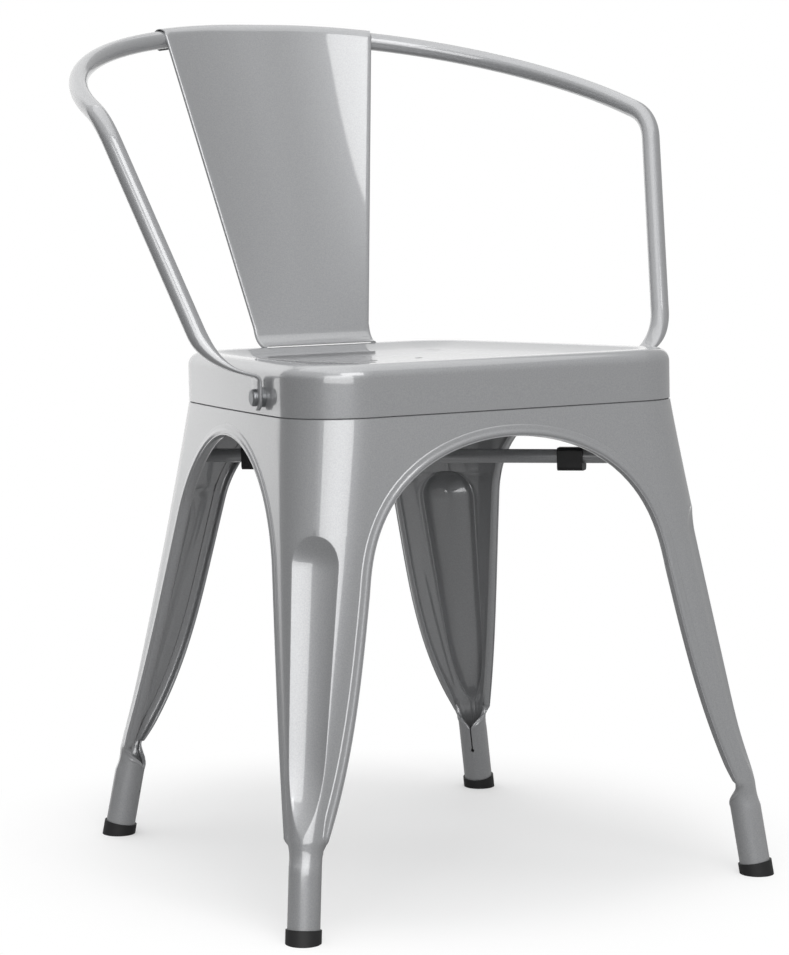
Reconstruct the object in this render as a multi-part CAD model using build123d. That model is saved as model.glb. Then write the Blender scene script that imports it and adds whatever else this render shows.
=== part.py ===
from build123d import *
import math
import os

# Metal armchair of pressed sheet steel and bent tube.
# Sizes are millimetres and degrees. The chair is drawn in the level frame of its seat:
# z = 0 is the seam under the seat skirt, y = 0 is the front edge, and +y is the back.
# At the end it is tipped back onto its feet, with the origin under the middle of its box.

# Stance
seam_height = 402.3
seat_tilt = 2.45

# Seat pan
seat_front_half = 187.0
seat_rear_half = 135.0
seat_depth = 339.3
side_bow = 5.0
side_bow_drop = 345.0
front_corner_radius = 50.0
rear_corner_radius = 62.0
skirt_height = 41.7
seat_rim_radius = 11.0
sheet = 1.5
dish_inset = 27.0
dish_slope = 18.0
dish_depth = 9.0
drain_hole = 7.0
drain_pitch = 45.0
drain_row_gap = 66.0
drain_centre_y = 190.0

# Legs
front_foot_spread = 29.8
front_foot_reach = 29.7
rear_foot_spread = 54.4
rear_foot_reach = 31.3
foot_tube = 26.0
foot_tube_height = 58.9
knee_rise = 19.0
tube_slit_angle = 5.0
leg_lap = 5.5
joggle_drop = 4.0
fit_gap = 0.3
weld_gap = 0.3
weld_room = 0.9
skirt_seat = 0.1

# Flute pressed into the outer corner of each leg
flute_above_knee = 4.0
flute_top_drop = 86.0
flute_top_run = 30.0
flute_bottom_run = 45.0
flute_depth_ratio = 0.27
flute_width_ratio = 0.8

# Arches between the legs, with rolled rims
arch_drop = 22.0
arch_fullness = 0.97
front_wing_length = 184.0
front_knee_width = 27.0
rear_knee_width = 24.5
haunch_drop = 142.0
haunch_width = 51.0
rear_haunch_width = 66.0
rim_width = 9.0
rim_proud = 1.0
rim_depth = 7.0
rim_above_knee = 1.5

# Foot caps
cap_wall = 1.0
cap_height = 10.5
cap_base = 6.5
cap_fit = 0.3

# Cross brace and stacking clips
brace_diameter = 12.0
brace_drop = 50.0
clip_length = 22.0
clip_width = 16.0
clip_over = 1.6
clip_under = 6.0
clip_mouth = 8.0
front_clip_reach = 159.0
rear_clip_reach = 124.0

# Arm and back hoop
hoop_tube = 16.0
hoop_back_half = 236.0
hoop_back_y = 425.4
hoop_back_height = 322.2
hoop_back_radius = 250.0
arm_front_half = 268.7
arm_front_y = 187.0
arm_front_height = 239.8
arm_front_radius = 44.0
arm_low_half = 219.5
arm_low_y = 102.5
arm_low_height = 41.3

# Flattened arm ends, turned down and bolted to the seat skirt
bolt_y = 94.0
bolt_height = 14.0
bolt_diameter = 8.0
bolt_clearance = 0.25
bolt_head = 14.0
bolt_head_height = 3.8
spacer_diameter = 16.0
spacer_thick = 3.2
nut_flats = 13.0
nut_thick = 6.5
tongue_width = 20.0
tongue_thick = 3.4
tongue_tip_radius = 9.0
tongue_bend = 6.0
tongue_shoulder = 17.0
tongue_below_bolt = 10.0
tongue_reach = 10.0

# Back splat
splat_top_half = 107.0
splat_bottom_half = 57.0
splat_sheet = 1.6
splat_foot_y = 329.0
splat_foot_length = 14.0
splat_bend = 8.0
splat_rise = 14.0
sleeve_wrap = 250.0
sleeve_lap = 12.0

# Steps at each end of a flute, and the points that draw a leg's corner
flute_steps = 4
corner_points = 9
flattening = [(0.0, 0.0, 0.0), (0.25, 0.05, 0.1), (0.5, 0.3, 0.45), (0.75, 0.7, 0.85), (1.0, 1.0, 1.0)]
wall_reach = 110.0


def smooth_step(value):
    """Ease from 0 to 1 with flat ends."""
    value = min(max(value, 0.0), 1.0)
    return value * value * (3.0 - 2.0 * value)


def blend(start, end, share):
    """Value or point part of the way from start to end."""
    return start + (end - start) * share


def floor_level(y):
    """Height of the floor in the level frame of the seat."""
    tilt = math.radians(seat_tilt)
    return (y * math.sin(tilt) - seam_height) / math.cos(tilt)


# Leg frame: corner lines and the sides between them


def seat_corner(end):
    """Sharp right-hand corner of the seat at the seam."""
    if end == "front":
        return Vector(seat_front_half, 0, 0)
    return Vector(seat_rear_half, seat_depth, 0)


def foot_centre(end):
    """Centre of a right-hand foot on the floor."""
    if end == "front":
        x = seat_front_half + front_foot_spread
        y = -front_foot_reach
    else:
        x = seat_rear_half + rear_foot_spread
        y = seat_depth + rear_foot_reach
    return Vector(x, y, floor_level(y))


def tube_top_drop(end):
    """From the seam down to the top of a foot tube."""
    return -foot_centre(end).Z - foot_tube_height


def knee_drop(end):
    return tube_top_drop(end) - knee_rise


def flute_bottom_drop(end):
    return knee_drop(end) - flute_above_knee


def knee_width(end):
    return front_knee_width if end == "front" else rear_knee_width


def tube_offset(across, along):
    """From a sharp corner to the centre of the tube that touches both sides."""
    half_angle = math.radians(across.get_angle(along)) / 2
    return (across + along).normalized() * (foot_tube / 2 / math.sin(half_angle))


def other_end(end):
    return "rear" if end == "front" else "front"


def corner(end, z):
    """Sharp outer corner of a right-hand leg at level z."""
    top = seat_corner(end)
    foot = foot_centre(end)
    along = (seat_corner(other_end(end)) - top).normalized()
    foot_corner = foot - tube_offset(Vector(-1, 0, 0), along)
    return blend(top, foot_corner, z / foot.Z)


class Wing:
    """One side of the leg frame at level z, running from a leg's corner to the next leg."""

    def __init__(self, end, side, z):
        self.start = corner(end, z)
        if side == "across":
            stop = Vector(-self.start.X, self.start.Y, z)
            self.bow = 0.0
            self.outward = Vector(0, -1, 0) if end == "front" else Vector(0, 1, 0)
        else:
            stop = corner(other_end(end), z)
            self.bow = side_bow * max(0.0, 1.0 + z / side_bow_drop)
            chord = (stop - self.start).normalized()
            self.outward = Vector(abs(chord.Y), -chord.X if end == "front" else chord.X, 0)
        self.length = (stop - self.start).length
        self.along = (stop - self.start).normalized()

    def rise(self, distance):
        share = distance / self.length
        return 4.0 * self.bow * share * (1.0 - share)

    def point(self, distance, offset=0.0):
        return self.start + self.along * distance + self.outward * (self.rise(distance) + offset)

    def heading(self, distance):
        slope = 4.0 * self.bow / self.length * (1.0 - 2.0 * distance / self.length)
        return self.along + self.outward * slope

    def edge(self, first, last, offset=0.0):
        """Slightly bowed line between two distances from the corner."""
        begin = self.point(first, offset)
        middle = begin + self.heading(first) * ((last - first) / 2)
        return Bezier(begin, middle, self.point(last, offset))


class RoundedCorner:
    """Rounded and fluted corner of a leg at level z."""

    def __init__(self, end, z):
        self.across = Wing(end, "across", z)
        self.along = Wing(end, "along", z)
        self.half_angle = math.radians(self.across.along.get_angle(self.along.along)) / 2
        top_radius = front_corner_radius if end == "front" else rear_corner_radius
        share = min(max(-z / tube_top_drop(end), 0.0), 1.0)
        self.radius = blend(top_radius, foot_tube / 2, share)
        self.setback = self.radius / math.tan(self.half_angle)
        inward = (self.across.along + self.along.along).normalized()
        self.outward = inward * -1
        self.sideways = (self.across.along - self.along.along).normalized()
        self.centre = self.across.start + inward * (self.radius / math.sin(self.half_angle))
        self.sweep = math.pi / 2 - self.half_angle
        fade_top = smooth_step((-z - flute_top_drop) / flute_top_run)
        fade_bottom = smooth_step((z + flute_bottom_drop(end)) / flute_bottom_run)
        self.dent = flute_depth_ratio * self.radius * fade_top * fade_bottom

    def radial(self, angle):
        return self.outward * math.cos(angle) + self.sideways * math.sin(angle)

    def curve(self, offset=0.0):
        """From the front or back wing round to the side wing."""
        points = []
        for index in range(corner_points):
            turn = 1.0 - 2.0 * index / (corner_points - 1)
            flute = 0.0
            if abs(turn) < flute_width_ratio:
                flute = self.dent * math.cos(math.pi / 2 * turn / flute_width_ratio) ** 2
            bow = self.across.outward * (self.across.rise(self.setback) * (1 + turn) / 2)
            bow += self.along.outward * (self.along.rise(self.setback) * (1 - turn) / 2)
            radial = self.radial(self.sweep * turn)
            points.append(self.centre + radial * (self.radius - flute + offset) + bow)
        first = self.across.heading(self.setback) * -1
        last = self.along.heading(self.setback)
        return Spline(*points, tangents=[first, last])

    def tube_arc(self, first, last, radius):
        """Part of the foot tube's wall between two angles from the outer corner."""
        angles = (first, (first + last) / 2, last)
        return ThreePointArc(*[self.centre + self.radial(angle) * radius for angle in angles])


def closed_outline(outer, inner):
    """Outline round an outer run of edges and an inner run, both from wing to wing."""
    first_tip = Line(inner[0] @ 0, outer[0] @ 0)
    last_tip = Line(outer[-1] @ 1, inner[-1] @ 1)
    return Wire([*outer, last_tip, *reversed(inner), first_tip])


def open_section(end, z, across_reach, along_reach, out, inn):
    """L-shaped section of a leg: two wings and the corner between them."""
    bend = RoundedCorner(end, z)
    runs = []
    for offset in (out, -inn):
        across = bend.across.edge(across_reach, bend.setback, offset)
        along = bend.along.edge(bend.setback, along_reach, offset)
        runs.append([across, bend.curve(offset), along])
    return closed_outline(*runs)


def tube_section(end, z, radius, wall):
    """The same section rolled up into the foot tube, open at a slit on the inside."""
    bend = RoundedCorner(end, z)
    tip = math.pi - math.radians(tube_slit_angle)
    runs = []
    for size in (radius, radius - wall):
        across = bend.tube_arc(tip, bend.sweep, size)
        middle = bend.tube_arc(bend.sweep, -bend.sweep, size)
        along = bend.tube_arc(-bend.sweep, -tip, size)
        runs.append([across, middle, along])
    return closed_outline(*runs)


def joint_share(end, side):
    """Share of a side that belongs to this leg, up to the weld with the next leg."""
    if side == "across":
        return 0.5
    front_share = front_wing_length / Wing("front", "along", 0).length
    return front_share if end == "front" else 1.0 - front_share


def wing_reach(end, side, z):
    """Length of an uncut wing: to the weld above the haunch, just past the arch below it."""
    full = Wing(end, side, z).length * joint_share(end, side) + rim_width
    narrow = knee_width(end) + rim_width
    share = (-z - haunch_drop) / (knee_drop(end) - haunch_drop)
    return blend(full, narrow, min(max(share, 0.0), 1.0))


def leg_section(end, z, out, inn):
    return open_section(end, z, wing_reach(end, "across", z), wing_reach(end, "along", z), out, inn)


# Arches: drawn in the upright plane of each side


def side_plane(end, side):
    """Upright plane of a side: local x runs along the seam and local y is up."""
    if side == "across":
        return Plane(origin=(0, seat_corner(end).Y, 0), x_dir=(1, 0, 0), z_dir=(0, -1, 0))
    wing = Wing("front", "along", 0)
    return Plane(origin=wing.start, x_dir=wing.along, z_dir=wing.outward)


def arch_side(end, side, sign):
    """Knee and shoulder of one half of an arch, in the side's plane."""
    plane = side_plane(end, side)
    flare = rear_haunch_width if end == "rear" and side == "across" else haunch_width
    points = []
    for drop, width in ((knee_drop(end), knee_width(end)), (haunch_drop, flare)):
        local = plane.to_local_coords(corner(end, -drop))
        points.append(Vector(local.X - sign * width, -drop))
    knee, haunch = points
    share = (knee_drop(end) - arch_drop) / (knee_drop(end) - haunch_drop)
    return knee, blend(knee, haunch, share)


def arch_face(end, side):
    """Opening between two legs: flaring sides and a crown rounded from both ends."""
    if side == "across":
        first = arch_side(end, side, 1)
        last = [Vector(-point.X, point.Y) for point in first]
        weld = 0.0
    else:
        first = arch_side("front", side, -1)
        last = arch_side("rear", side, 1)
        weld = front_wing_length
    radii = []
    for knee, shoulder in (first, last):
        level = Vector(weld - shoulder.X, 0)
        half_turn = math.radians(level.get_angle(knee - shoulder)) / 2
        radii.append(arch_fullness * level.length * math.tan(half_turn))
    crown = FilletPolyline(*first, *reversed(last), radius=radii)
    return make_face([*crown.edges(), Line(last[0], first[0])])


def arch_solid(end, side, face):
    """An arch face run through the wall of its side."""
    placed = side_plane(end, side) * face
    outer = extrude(placed, amount=wall_reach)
    return outer + extrude(placed, amount=-wall_reach)


def rim(end, side):
    """Rolled edge of one wing along its arch."""
    sections = []
    for drop in (arch_drop / 2, knee_drop(end) - rim_above_knee):
        wing = Wing(end, side, -drop)
        near = knee_width(end) - 2 * rim_width
        far = wing_reach(end, side, -drop)
        outer = wing.edge(near, far, rim_proud)
        inner = wing.edge(near, far, -rim_depth)
        sections.append(closed_outline([outer], [inner]))
    slab = Solid.make_loft(sections, True)
    opening = arch_face(end, side)
    band = offset(opening, amount=rim_width) - opening
    return slab & arch_solid(end, side, band)


def weld_plane(end, side):
    """Plane at which a wing stops, a hair short of the next leg's wing."""
    if side == "across":
        return Plane(origin=(weld_gap / 2, 0, 0), z_dir=(1, 0, 0))
    seam = Wing("front", "along", 0)
    towards = 1 if end == "rear" else -1
    middle = seam.start + seam.along * (front_wing_length + towards * weld_gap / 2)
    return Plane(origin=middle, z_dir=seam.along * towards)


def leg_drops(end):
    """Depths below the seam at which a leg's section is drawn, from the knee up."""
    drops = [haunch_drop, joggle_drop]
    for step in range(flute_steps + 1):
        share = step / flute_steps
        drops.append(flute_bottom_drop(end) - flute_bottom_run * share)
        drops.append(flute_top_drop + flute_top_run * share)
    return sorted(drops, reverse=True)


def leg(end):
    """Right-hand leg: pressed wings and fluted corner, rolled rims, foot tube and seat lap."""
    tube_top = tube_section(end, -tube_top_drop(end), foot_tube / 2, sheet)
    tube_end = tube_section(end, foot_centre(end).Z + cap_base, foot_tube / 2, sheet)
    knee = open_section(end, -knee_drop(end), knee_width(end), knee_width(end), 0.0, sheet)
    sections = [tube_top, knee]
    for drop in leg_drops(end):
        sections.append(leg_section(end, -drop, 0.0, sheet))
    joggle = sheet + fit_gap
    lap = [leg_section(end, -joggle_drop, 0.0, sheet)]
    lap.append(leg_section(end, -fit_gap, -joggle, sheet + joggle))
    lap.append(leg_section(end, leg_lap, -joggle, sheet + joggle))
    body = Part() + Solid.make_loft(sections, True)
    for side in ("across", "along"):
        body -= arch_solid(end, side, arch_face(end, side))
    body += Solid.make_loft([tube_end, tube_top], True)
    body += Solid.make_loft(lap, True)
    for side in ("across", "along"):
        body += rim(end, side)
    for side in ("across", "along"):
        body = split(body, bisect_by=weld_plane(end, side), keep=Keep.TOP)
    return body


def mirrored(shape):
    return mirror(shape, about=Plane.YZ)


# Foot caps


def foot_axis(end):
    """Plane on the floor at a foot, square to its tube."""
    floor = RoundedCorner(end, foot_centre(end).Z).centre
    return Plane(origin=floor, z_dir=RoundedCorner(end, -tube_top_drop(end)).centre - floor)


def foot_cap(end):
    """Rubber cup over the end of a foot tube, cut flat on the floor."""
    plane = foot_axis(end)
    bore = foot_tube / 2 + cap_fit
    cup = plane * extrude(Circle(bore + cap_wall), amount=cap_height, dir=(0, 0, 1))
    cup += plane * extrude(Circle(bore + cap_wall), amount=-cap_base, dir=(0, 0, 1))
    lean = math.sin(math.radians(plane.z_dir.get_angle(Vector(0, 0, 1)))) * bore
    pocket = plane.offset(cap_base - lean - fit_gap)
    cup -= pocket * extrude(Circle(bore), amount=cap_height, dir=(0, 0, 1))
    return split(cup, bisect_by=floor_plane(), keep=Keep.TOP)


def floor_plane():
    tilt = math.radians(seat_tilt)
    return Plane(origin=(0, 0, floor_level(0)), z_dir=(0, -math.sin(tilt), math.cos(tilt)))


# Seat pan


def seat_outline(offset_out, z):
    """Closed outline of the seat at height z, moved out or in from the skirt."""
    front = RoundedCorner("front", 0)
    rear = RoundedCorner("rear", 0)
    side = front.along
    half = [front.curve(offset_out), rear.curve(offset_out)]
    half.append(side.edge(front.setback, side.length - rear.setback, offset_out))
    edges = [*half, *[edge.mirror(Plane.YZ) for edge in half]]
    for bend in (front, rear):
        end_point = bend.across.point(bend.setback, offset_out)
        edges.append(Line(end_point, Vector(-end_point.X, end_point.Y, 0)))
    return Wire(edges).moved(Pos(0, 0, z))


def pressed_block(inset, height, radius):
    """Solid with the seat's outline and a rounded top edge."""
    block = extrude(Face(seat_outline(-inset, 0)), amount=height, dir=(0, 0, 1))
    top = block.faces().sort_by(Axis.Z)[-1]
    return fillet(top.edges(), radius)


def dish(inset, top):
    """Shallow hollow of the seat, from its edge down to its floor."""
    upper = seat_outline(-inset, top)
    lower = seat_outline(-inset - dish_slope, top - dish_depth)
    return Solid.make_loft([upper, lower], True)


def seat_pan():
    pan = pressed_block(0.0, skirt_height, seat_rim_radius) - dish(dish_inset, skirt_height)
    hollow = pressed_block(sheet, skirt_height - sheet, seat_rim_radius - sheet)
    hollow -= dish(dish_inset - sheet / 2, skirt_height - sheet)
    pan -= hollow
    for row in (-1, 1):
        for column in (-1, 0, 1):
            y = drain_centre_y + row * drain_row_gap / 2
            pan -= Pos(column * drain_pitch, y, skirt_height / 2) * Cylinder(drain_hole / 2, skirt_height)
    hole = bolt_hole(bolt_plane())
    return pan - hole - mirrored(hole)


# Arm bolts: drawn on the skirt, with local x along it, y up and z outwards


def bolt_plane():
    """On the outside of the right-hand skirt, at the arm bolt."""
    seam = Wing("front", "along", 0)
    distance = bolt_y / seam.along.Y
    heading = seam.heading(distance).normalized()
    origin = seam.point(distance) + Vector(0, 0, bolt_height)
    return Plane(origin=origin, x_dir=heading, z_dir=(heading.Y, -heading.X, 0))


def bolt_hole(plane):
    size = bolt_diameter / 2 + bolt_clearance
    return plane * Cylinder(size, 2 * (spacer_thick + tongue_thick + nut_thick))


def layer(plane, sketch, start, thick):
    """A sketch on the skirt, raised from one height to another."""
    return extrude(plane.offset(start) * sketch, amount=thick)


def arm_fastening():
    """Right-hand spacer, bolt and nut."""
    plane = bolt_plane()
    size = bolt_diameter / 2 + bolt_clearance
    spacer = layer(plane, Circle(spacer_diameter / 2) - Circle(size), skirt_seat, spacer_thick)
    head_seat = skirt_seat + spacer_thick + tongue_thick
    head = layer(plane, Circle(bolt_head / 2), head_seat, bolt_head_height)
    head = fillet(head.edges().group_by(plane_axis(plane))[-1], bolt_head_height / 2)
    nut_seat = -sheet - skirt_seat - nut_thick
    shank_end = nut_seat - bolt_diameter / 4
    bolt = head + layer(plane, Circle(bolt_diameter / 2), shank_end, head_seat - shank_end)
    nut = RegularPolygon(nut_flats / 2, 6, major_radius=False) - Circle(size)
    return spacer, bolt, layer(plane, nut, nut_seat, nut_thick)


def plane_axis(plane):
    return Axis(plane.origin, plane.z_dir)


# Arm and back hoop


def hoop_points():
    """Corners of the right-hand half of the hoop, from the back to the seat."""
    back = Vector(hoop_back_half, hoop_back_y, hoop_back_height)
    front = Vector(arm_front_half, arm_front_y, arm_front_height)
    low = Vector(arm_low_half, arm_low_y, arm_low_height)
    return back, front, low


def tongue_frame():
    """Plane across the skirt through the bolt: local x outwards and y up."""
    plane = bolt_plane()
    return Plane(origin=plane.origin, x_dir=plane.z_dir, z_dir=plane.x_dir * -1)


def tongue_middle():
    return skirt_seat + spacer_thick + tongue_thick / 2


def arm_end():
    """Flattened right-hand end of the hoop: low bend pressed flat, then turned down the skirt."""
    back, front, low = hoop_points()
    frame = tongue_frame()
    shoulder = Vector(tongue_middle(), tongue_shoulder)
    low_local = frame.to_local_coords(low)
    run = (Vector(low_local.X, low_local.Y) - shoulder).normalized()
    start = shoulder + run * tongue_reach
    flat_end = frame.from_local_coords(start)
    length = (flat_end - low).length
    bend_start = low + (front - low).normalized() * length
    bend = TangentArc(bend_start, flat_end, tangent=low - bend_start)
    sections = []
    for share, wide, thin in flattening:
        place = Plane(origin=bend @ share, x_dir=frame.z_dir, z_dir=bend % share)
        shape = Ellipse(blend(hoop_tube, tongue_width, wide) / 2, blend(hoop_tube, tongue_thick, thin) / 2)
        sections.append(place * shape)
    flattened = loft(sections)
    path = FilletPolyline(start, shoulder, Vector(shoulder.X, -tongue_below_bolt), radius=tongue_bend)
    strip = extrude(frame * trace(path, tongue_thick), amount=tongue_width / 2, both=True)
    tip = strip.edges().filter_by(Axis(frame.origin, frame.x_dir)).sort_by(Axis(frame.origin, frame.y_dir))[:2]
    strip = fillet(tip, tongue_tip_radius)
    return flattened + strip - bolt_hole(bolt_plane()), bend_start


def arm_hoop():
    """One bent tube: back, arms and both flattened ends."""
    right_end, bend_start = arm_end()
    back, front, low = hoop_points()
    half = [back, front, bend_start]
    left = [Vector(-point.X, point.Y, point.Z) for point in half]
    radii = [arm_front_radius, hoop_back_radius, hoop_back_radius, arm_front_radius]
    path = FilletPolyline(*reversed(half), *left, radius=radii)
    section = Plane(origin=path @ 0, z_dir=path % 0) * (Circle(hoop_tube / 2) - Circle(hoop_tube / 2 - sheet))
    return sweep(section, path=path) + right_end + mirrored(right_end)


# Back splat


def hoop_top_plane():
    """Plane of the hoop's back: local x to the right, local y backwards, from the back's middle."""
    back, front, low = hoop_points()
    forward = front - back
    backwards = Vector(0, -forward.Y, -forward.Z).normalized()
    return Plane(origin=(0, back.Y, back.Z), x_dir=(1, 0, 0), z_dir=Vector(1, 0, 0).cross(backwards))


def hoop_back_run():
    """Half length of the straight run in the middle of the hoop's back."""
    back, front, low = hoop_points()
    half_turn = math.radians(Vector(-1, 0, 0).get_angle(front - back)) / 2
    return hoop_back_half - hoop_back_radius / math.tan(half_turn)


def splat_lean():
    """Height angle of the splat, touching the front of the sleeve, and its length from the foot."""
    reach = hoop_back_y - splat_foot_y
    rise = hoop_back_height - skirt_height - splat_sheet / 2
    distance = math.hypot(reach, rise)
    touch = hoop_tube / 2 + fit_gap + splat_sheet / 2
    angle = math.atan2(rise, reach) + math.asin(touch / distance)
    return angle, math.sqrt(distance ** 2 - touch ** 2)


def sleeve_curve(touch, tilt):
    """Where the sheet leaves the sleeve, as an arc in front of the hoop's back."""
    straight = hoop_back_run()
    turn = math.asin((splat_top_half - straight) / hoop_back_radius)
    radius = hoop_back_radius - touch * math.cos(tilt)
    height = touch * math.sin(tilt)
    x = straight + radius * math.sin(turn)
    y = radius * math.cos(turn) - hoop_back_radius
    plane = hoop_top_plane()
    points = [(-x, y, height), (0, radius - hoop_back_radius, height), (x, y, height)]
    return Edge.make_three_point_arc(*[plane.from_local_coords(Vector(*point)) for point in points])


def sleeve(tilt):
    """Part ring swept along the hoop's back, from the front over the top to behind."""
    plane = hoop_top_plane()
    straight = hoop_back_run()
    turn = math.degrees(math.asin((splat_top_half - straight) / hoop_back_radius))
    right = CenterArc((straight, -hoop_back_radius), hoop_back_radius, 90 - turn, turn)
    left = CenterArc((-straight, -hoop_back_radius), hoop_back_radius, 90, turn)
    path = plane * Wire([right, Line((straight, 0), (-straight, 0)), left])
    inner = hoop_tube / 2 + fit_gap
    start = math.degrees(tilt) - sleeve_lap
    ring = [CenterArc((0, 0), size, start, sleeve_wrap) for size in (inner, inner + splat_sheet)]
    face = make_face([*ring, Line(ring[0] @ 0, ring[1] @ 0), Line(ring[0] @ 1, ring[1] @ 1)])
    heading = path % 0
    towards_centre = plane.z_dir.cross(heading)
    place = Plane(origin=path @ 0, x_dir=towards_centre, z_dir=heading)
    return sweep(place * face, path=path)


def back_splat():
    """Tapered sheet: sleeve over the hoop, plain back and a foot turned onto the seat."""
    angle, length = splat_lean()
    up = Vector(0, math.cos(angle), math.sin(angle))
    front = Vector(0, -math.sin(angle), math.cos(angle))
    plane = hoop_top_plane()
    forward = plane.y_dir * -1
    tilt = math.atan2(front.dot(plane.z_dir), front.dot(forward))
    top = sleeve_curve(hoop_tube / 2 + fit_gap + splat_sheet / 2, tilt)
    heel = Vector(0, splat_foot_y, skirt_height + splat_sheet / 2)
    knee = heel + up * splat_rise
    base = knee - up * (splat_sheet / 2)
    half = Vector(splat_bottom_half, 0, 0)
    middle = Face.make_surface_from_curves(Edge.make_line(base - half, base + half), top)
    back = thicken(middle, splat_sheet / 2, both=True)
    profile = Plane(origin=(0, 0, 0), x_dir=(0, 1, 0), z_dir=(1, 0, 0))
    path = FilletPolyline(
        (knee.Y, knee.Z), (heel.Y, heel.Z), (heel.Y - splat_foot_length, heel.Z), radius=splat_bend
    )
    foot = extrude(profile * trace(path, splat_sheet), amount=splat_bottom_half, both=True)
    return foot + back + sleeve(tilt)


# Cross brace and clips


def brace_ends():
    """Front and rear right-hand corners that the bars run to."""
    return corner("front", -brace_drop), corner("rear", -brace_drop)


def bar(start, stop, extra=0.0):
    """Round bar between two points, with extra on its radius."""
    place = Plane(origin=start, z_dir=stop - start)
    return place * extrude(Circle(brace_diameter / 2 + extra), amount=(stop - start).length)


def leg_corner_room(end):
    """Space taken up by a leg's corner at the brace, with the weld's gap."""
    sections = []
    for drop in (brace_drop - brace_diameter, brace_drop + brace_diameter):
        reach = RoundedCorner(end, -drop).setback + rim_width
        sections.append(open_section(end, -drop, reach, reach, wall_reach / 4, sheet + weld_room))
    return Solid.make_loft(sections, True)


def brace_crossing():
    front, rear = brace_ends()
    share = front.X / (front.X + rear.X)
    return Vector(0, blend(front.Y, rear.Y, share), -brace_drop)


def brace_bars():
    """Through bar from front left to rear right, and two half bars that butt on it."""
    front, rear = brace_ends()
    front_room = leg_corner_room("front")
    rear_room = leg_corner_room("rear")
    through = bar(Vector(-front.X, front.Y, front.Z), rear) - mirrored(front_room) - rear_room
    middle = brace_crossing()
    cut = bar(Vector(-front.X, front.Y, front.Z), rear, fit_gap)
    front_half = bar(middle, front) - front_room - cut
    rear_half = bar(middle, Vector(-rear.X, rear.Y, rear.Z)) - mirrored(rear_room) - cut
    return through, front_half, rear_half


def clip(towards, reach):
    """Plastic stacking clip snapped onto a bar from one side."""
    middle = brace_crossing()
    heading = (towards - middle).normalized()
    centre = middle + heading * reach
    place = Plane(origin=centre, x_dir=Vector(0, 0, 1).cross(heading), z_dir=heading)
    radius = brace_diameter / 2
    tall = brace_diameter + clip_over + clip_under
    block = Pos(0, (clip_over - clip_under) / 2) * RectangleRounded(clip_width, tall, clip_over * 2)
    mouth = Pos(radius, 0) * Rectangle(brace_diameter, clip_mouth)
    profile = block - Circle(radius + fit_gap) - mouth
    return extrude(place * profile, amount=clip_length / 2, both=True)


def assembly():
    """All pieces by name, in the level frame of the seat."""
    pieces = {"seat_pan": seat_pan()}
    for end in ("front", "rear"):
        right_leg = leg(end)
        right_cap = foot_cap(end)
        pieces[f"leg_{end}_right"] = right_leg
        pieces[f"leg_{end}_left"] = mirrored(right_leg)
        pieces[f"foot_cap_{end}_right"] = right_cap
        pieces[f"foot_cap_{end}_left"] = mirrored(right_cap)
    through, front_half, rear_half = brace_bars()
    pieces["brace_through_bar"] = through
    pieces["brace_front_half_bar"] = front_half
    pieces["brace_rear_half_bar"] = rear_half
    front, rear = brace_ends()
    for end, point, reach in (("front", front, front_clip_reach), ("rear", rear, rear_clip_reach)):
        right_clip = clip(point, reach)
        pieces[f"stacking_clip_{end}_right"] = right_clip
        pieces[f"stacking_clip_{end}_left"] = mirrored(right_clip)
    pieces["arm_hoop"] = arm_hoop()
    pieces["back_splat"] = back_splat()
    for name, shape in zip(("arm_spacer", "arm_bolt", "arm_nut"), arm_fastening()):
        pieces[f"{name}_right"] = shape
        pieces[f"{name}_left"] = mirrored(shape)
    return pieces


def main():
    tip = Pos(0, 0, seam_height) * Rot(-seat_tilt, 0, 0)
    pieces = {name: tip * shape for name, shape in assembly().items()}
    box = Compound(children=[Compound(shape.solids()) for shape in pieces.values()]).bounding_box()
    centred = Pos(0, -(box.min.Y + box.max.Y) / 2, -box.min.Z)
    os.makedirs("parts", exist_ok=True)
    for name, shape in pieces.items():
        export_step(centred * shape, f"parts/{name}.step")


main()
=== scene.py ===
"""Looks of a stacking armchair made of pressed, painted sheet steel and bent tube."""

import math

import bpy
import numpy as np
from bpy.props import FloatProperty, PointerProperty, StringProperty
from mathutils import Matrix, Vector


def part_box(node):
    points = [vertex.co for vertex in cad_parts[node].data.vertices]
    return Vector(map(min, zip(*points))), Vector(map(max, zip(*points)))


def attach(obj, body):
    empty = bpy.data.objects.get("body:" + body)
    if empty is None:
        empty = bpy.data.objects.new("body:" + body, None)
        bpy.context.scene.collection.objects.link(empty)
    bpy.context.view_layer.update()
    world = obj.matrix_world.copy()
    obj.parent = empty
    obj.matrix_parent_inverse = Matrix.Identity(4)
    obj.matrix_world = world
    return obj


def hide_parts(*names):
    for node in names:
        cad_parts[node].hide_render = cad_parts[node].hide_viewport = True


bl_info = {
    "name": "Pressed Steel Armchair",
    "version": (1, 0, 0),
    "blender": (4, 5, 0),
    "location": "View3D > Sidebar > Chair",
    "description": "Builds the finished looks of a pressed steel armchair on its packed frame",
    "category": "Add Mesh",
}

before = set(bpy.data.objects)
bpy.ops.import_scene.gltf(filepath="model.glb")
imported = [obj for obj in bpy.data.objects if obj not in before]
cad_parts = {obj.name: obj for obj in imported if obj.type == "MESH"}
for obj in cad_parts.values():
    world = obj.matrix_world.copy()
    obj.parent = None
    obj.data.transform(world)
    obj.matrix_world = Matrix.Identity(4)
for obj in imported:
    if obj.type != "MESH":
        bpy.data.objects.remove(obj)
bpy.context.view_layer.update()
SEAT_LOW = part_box("seat_pan")[0]
BODY = "root"
ENDS = ("front", "rear")
HANDS = ("right", "left")


# Settings that a user would change


def metres(name, description, default):
    return FloatProperty(name=name, description=description, default=default, unit="LENGTH")


def degrees(name, description, default):
    return FloatProperty(name=name, description=description, default=math.radians(default), unit="ROTATION")


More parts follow.
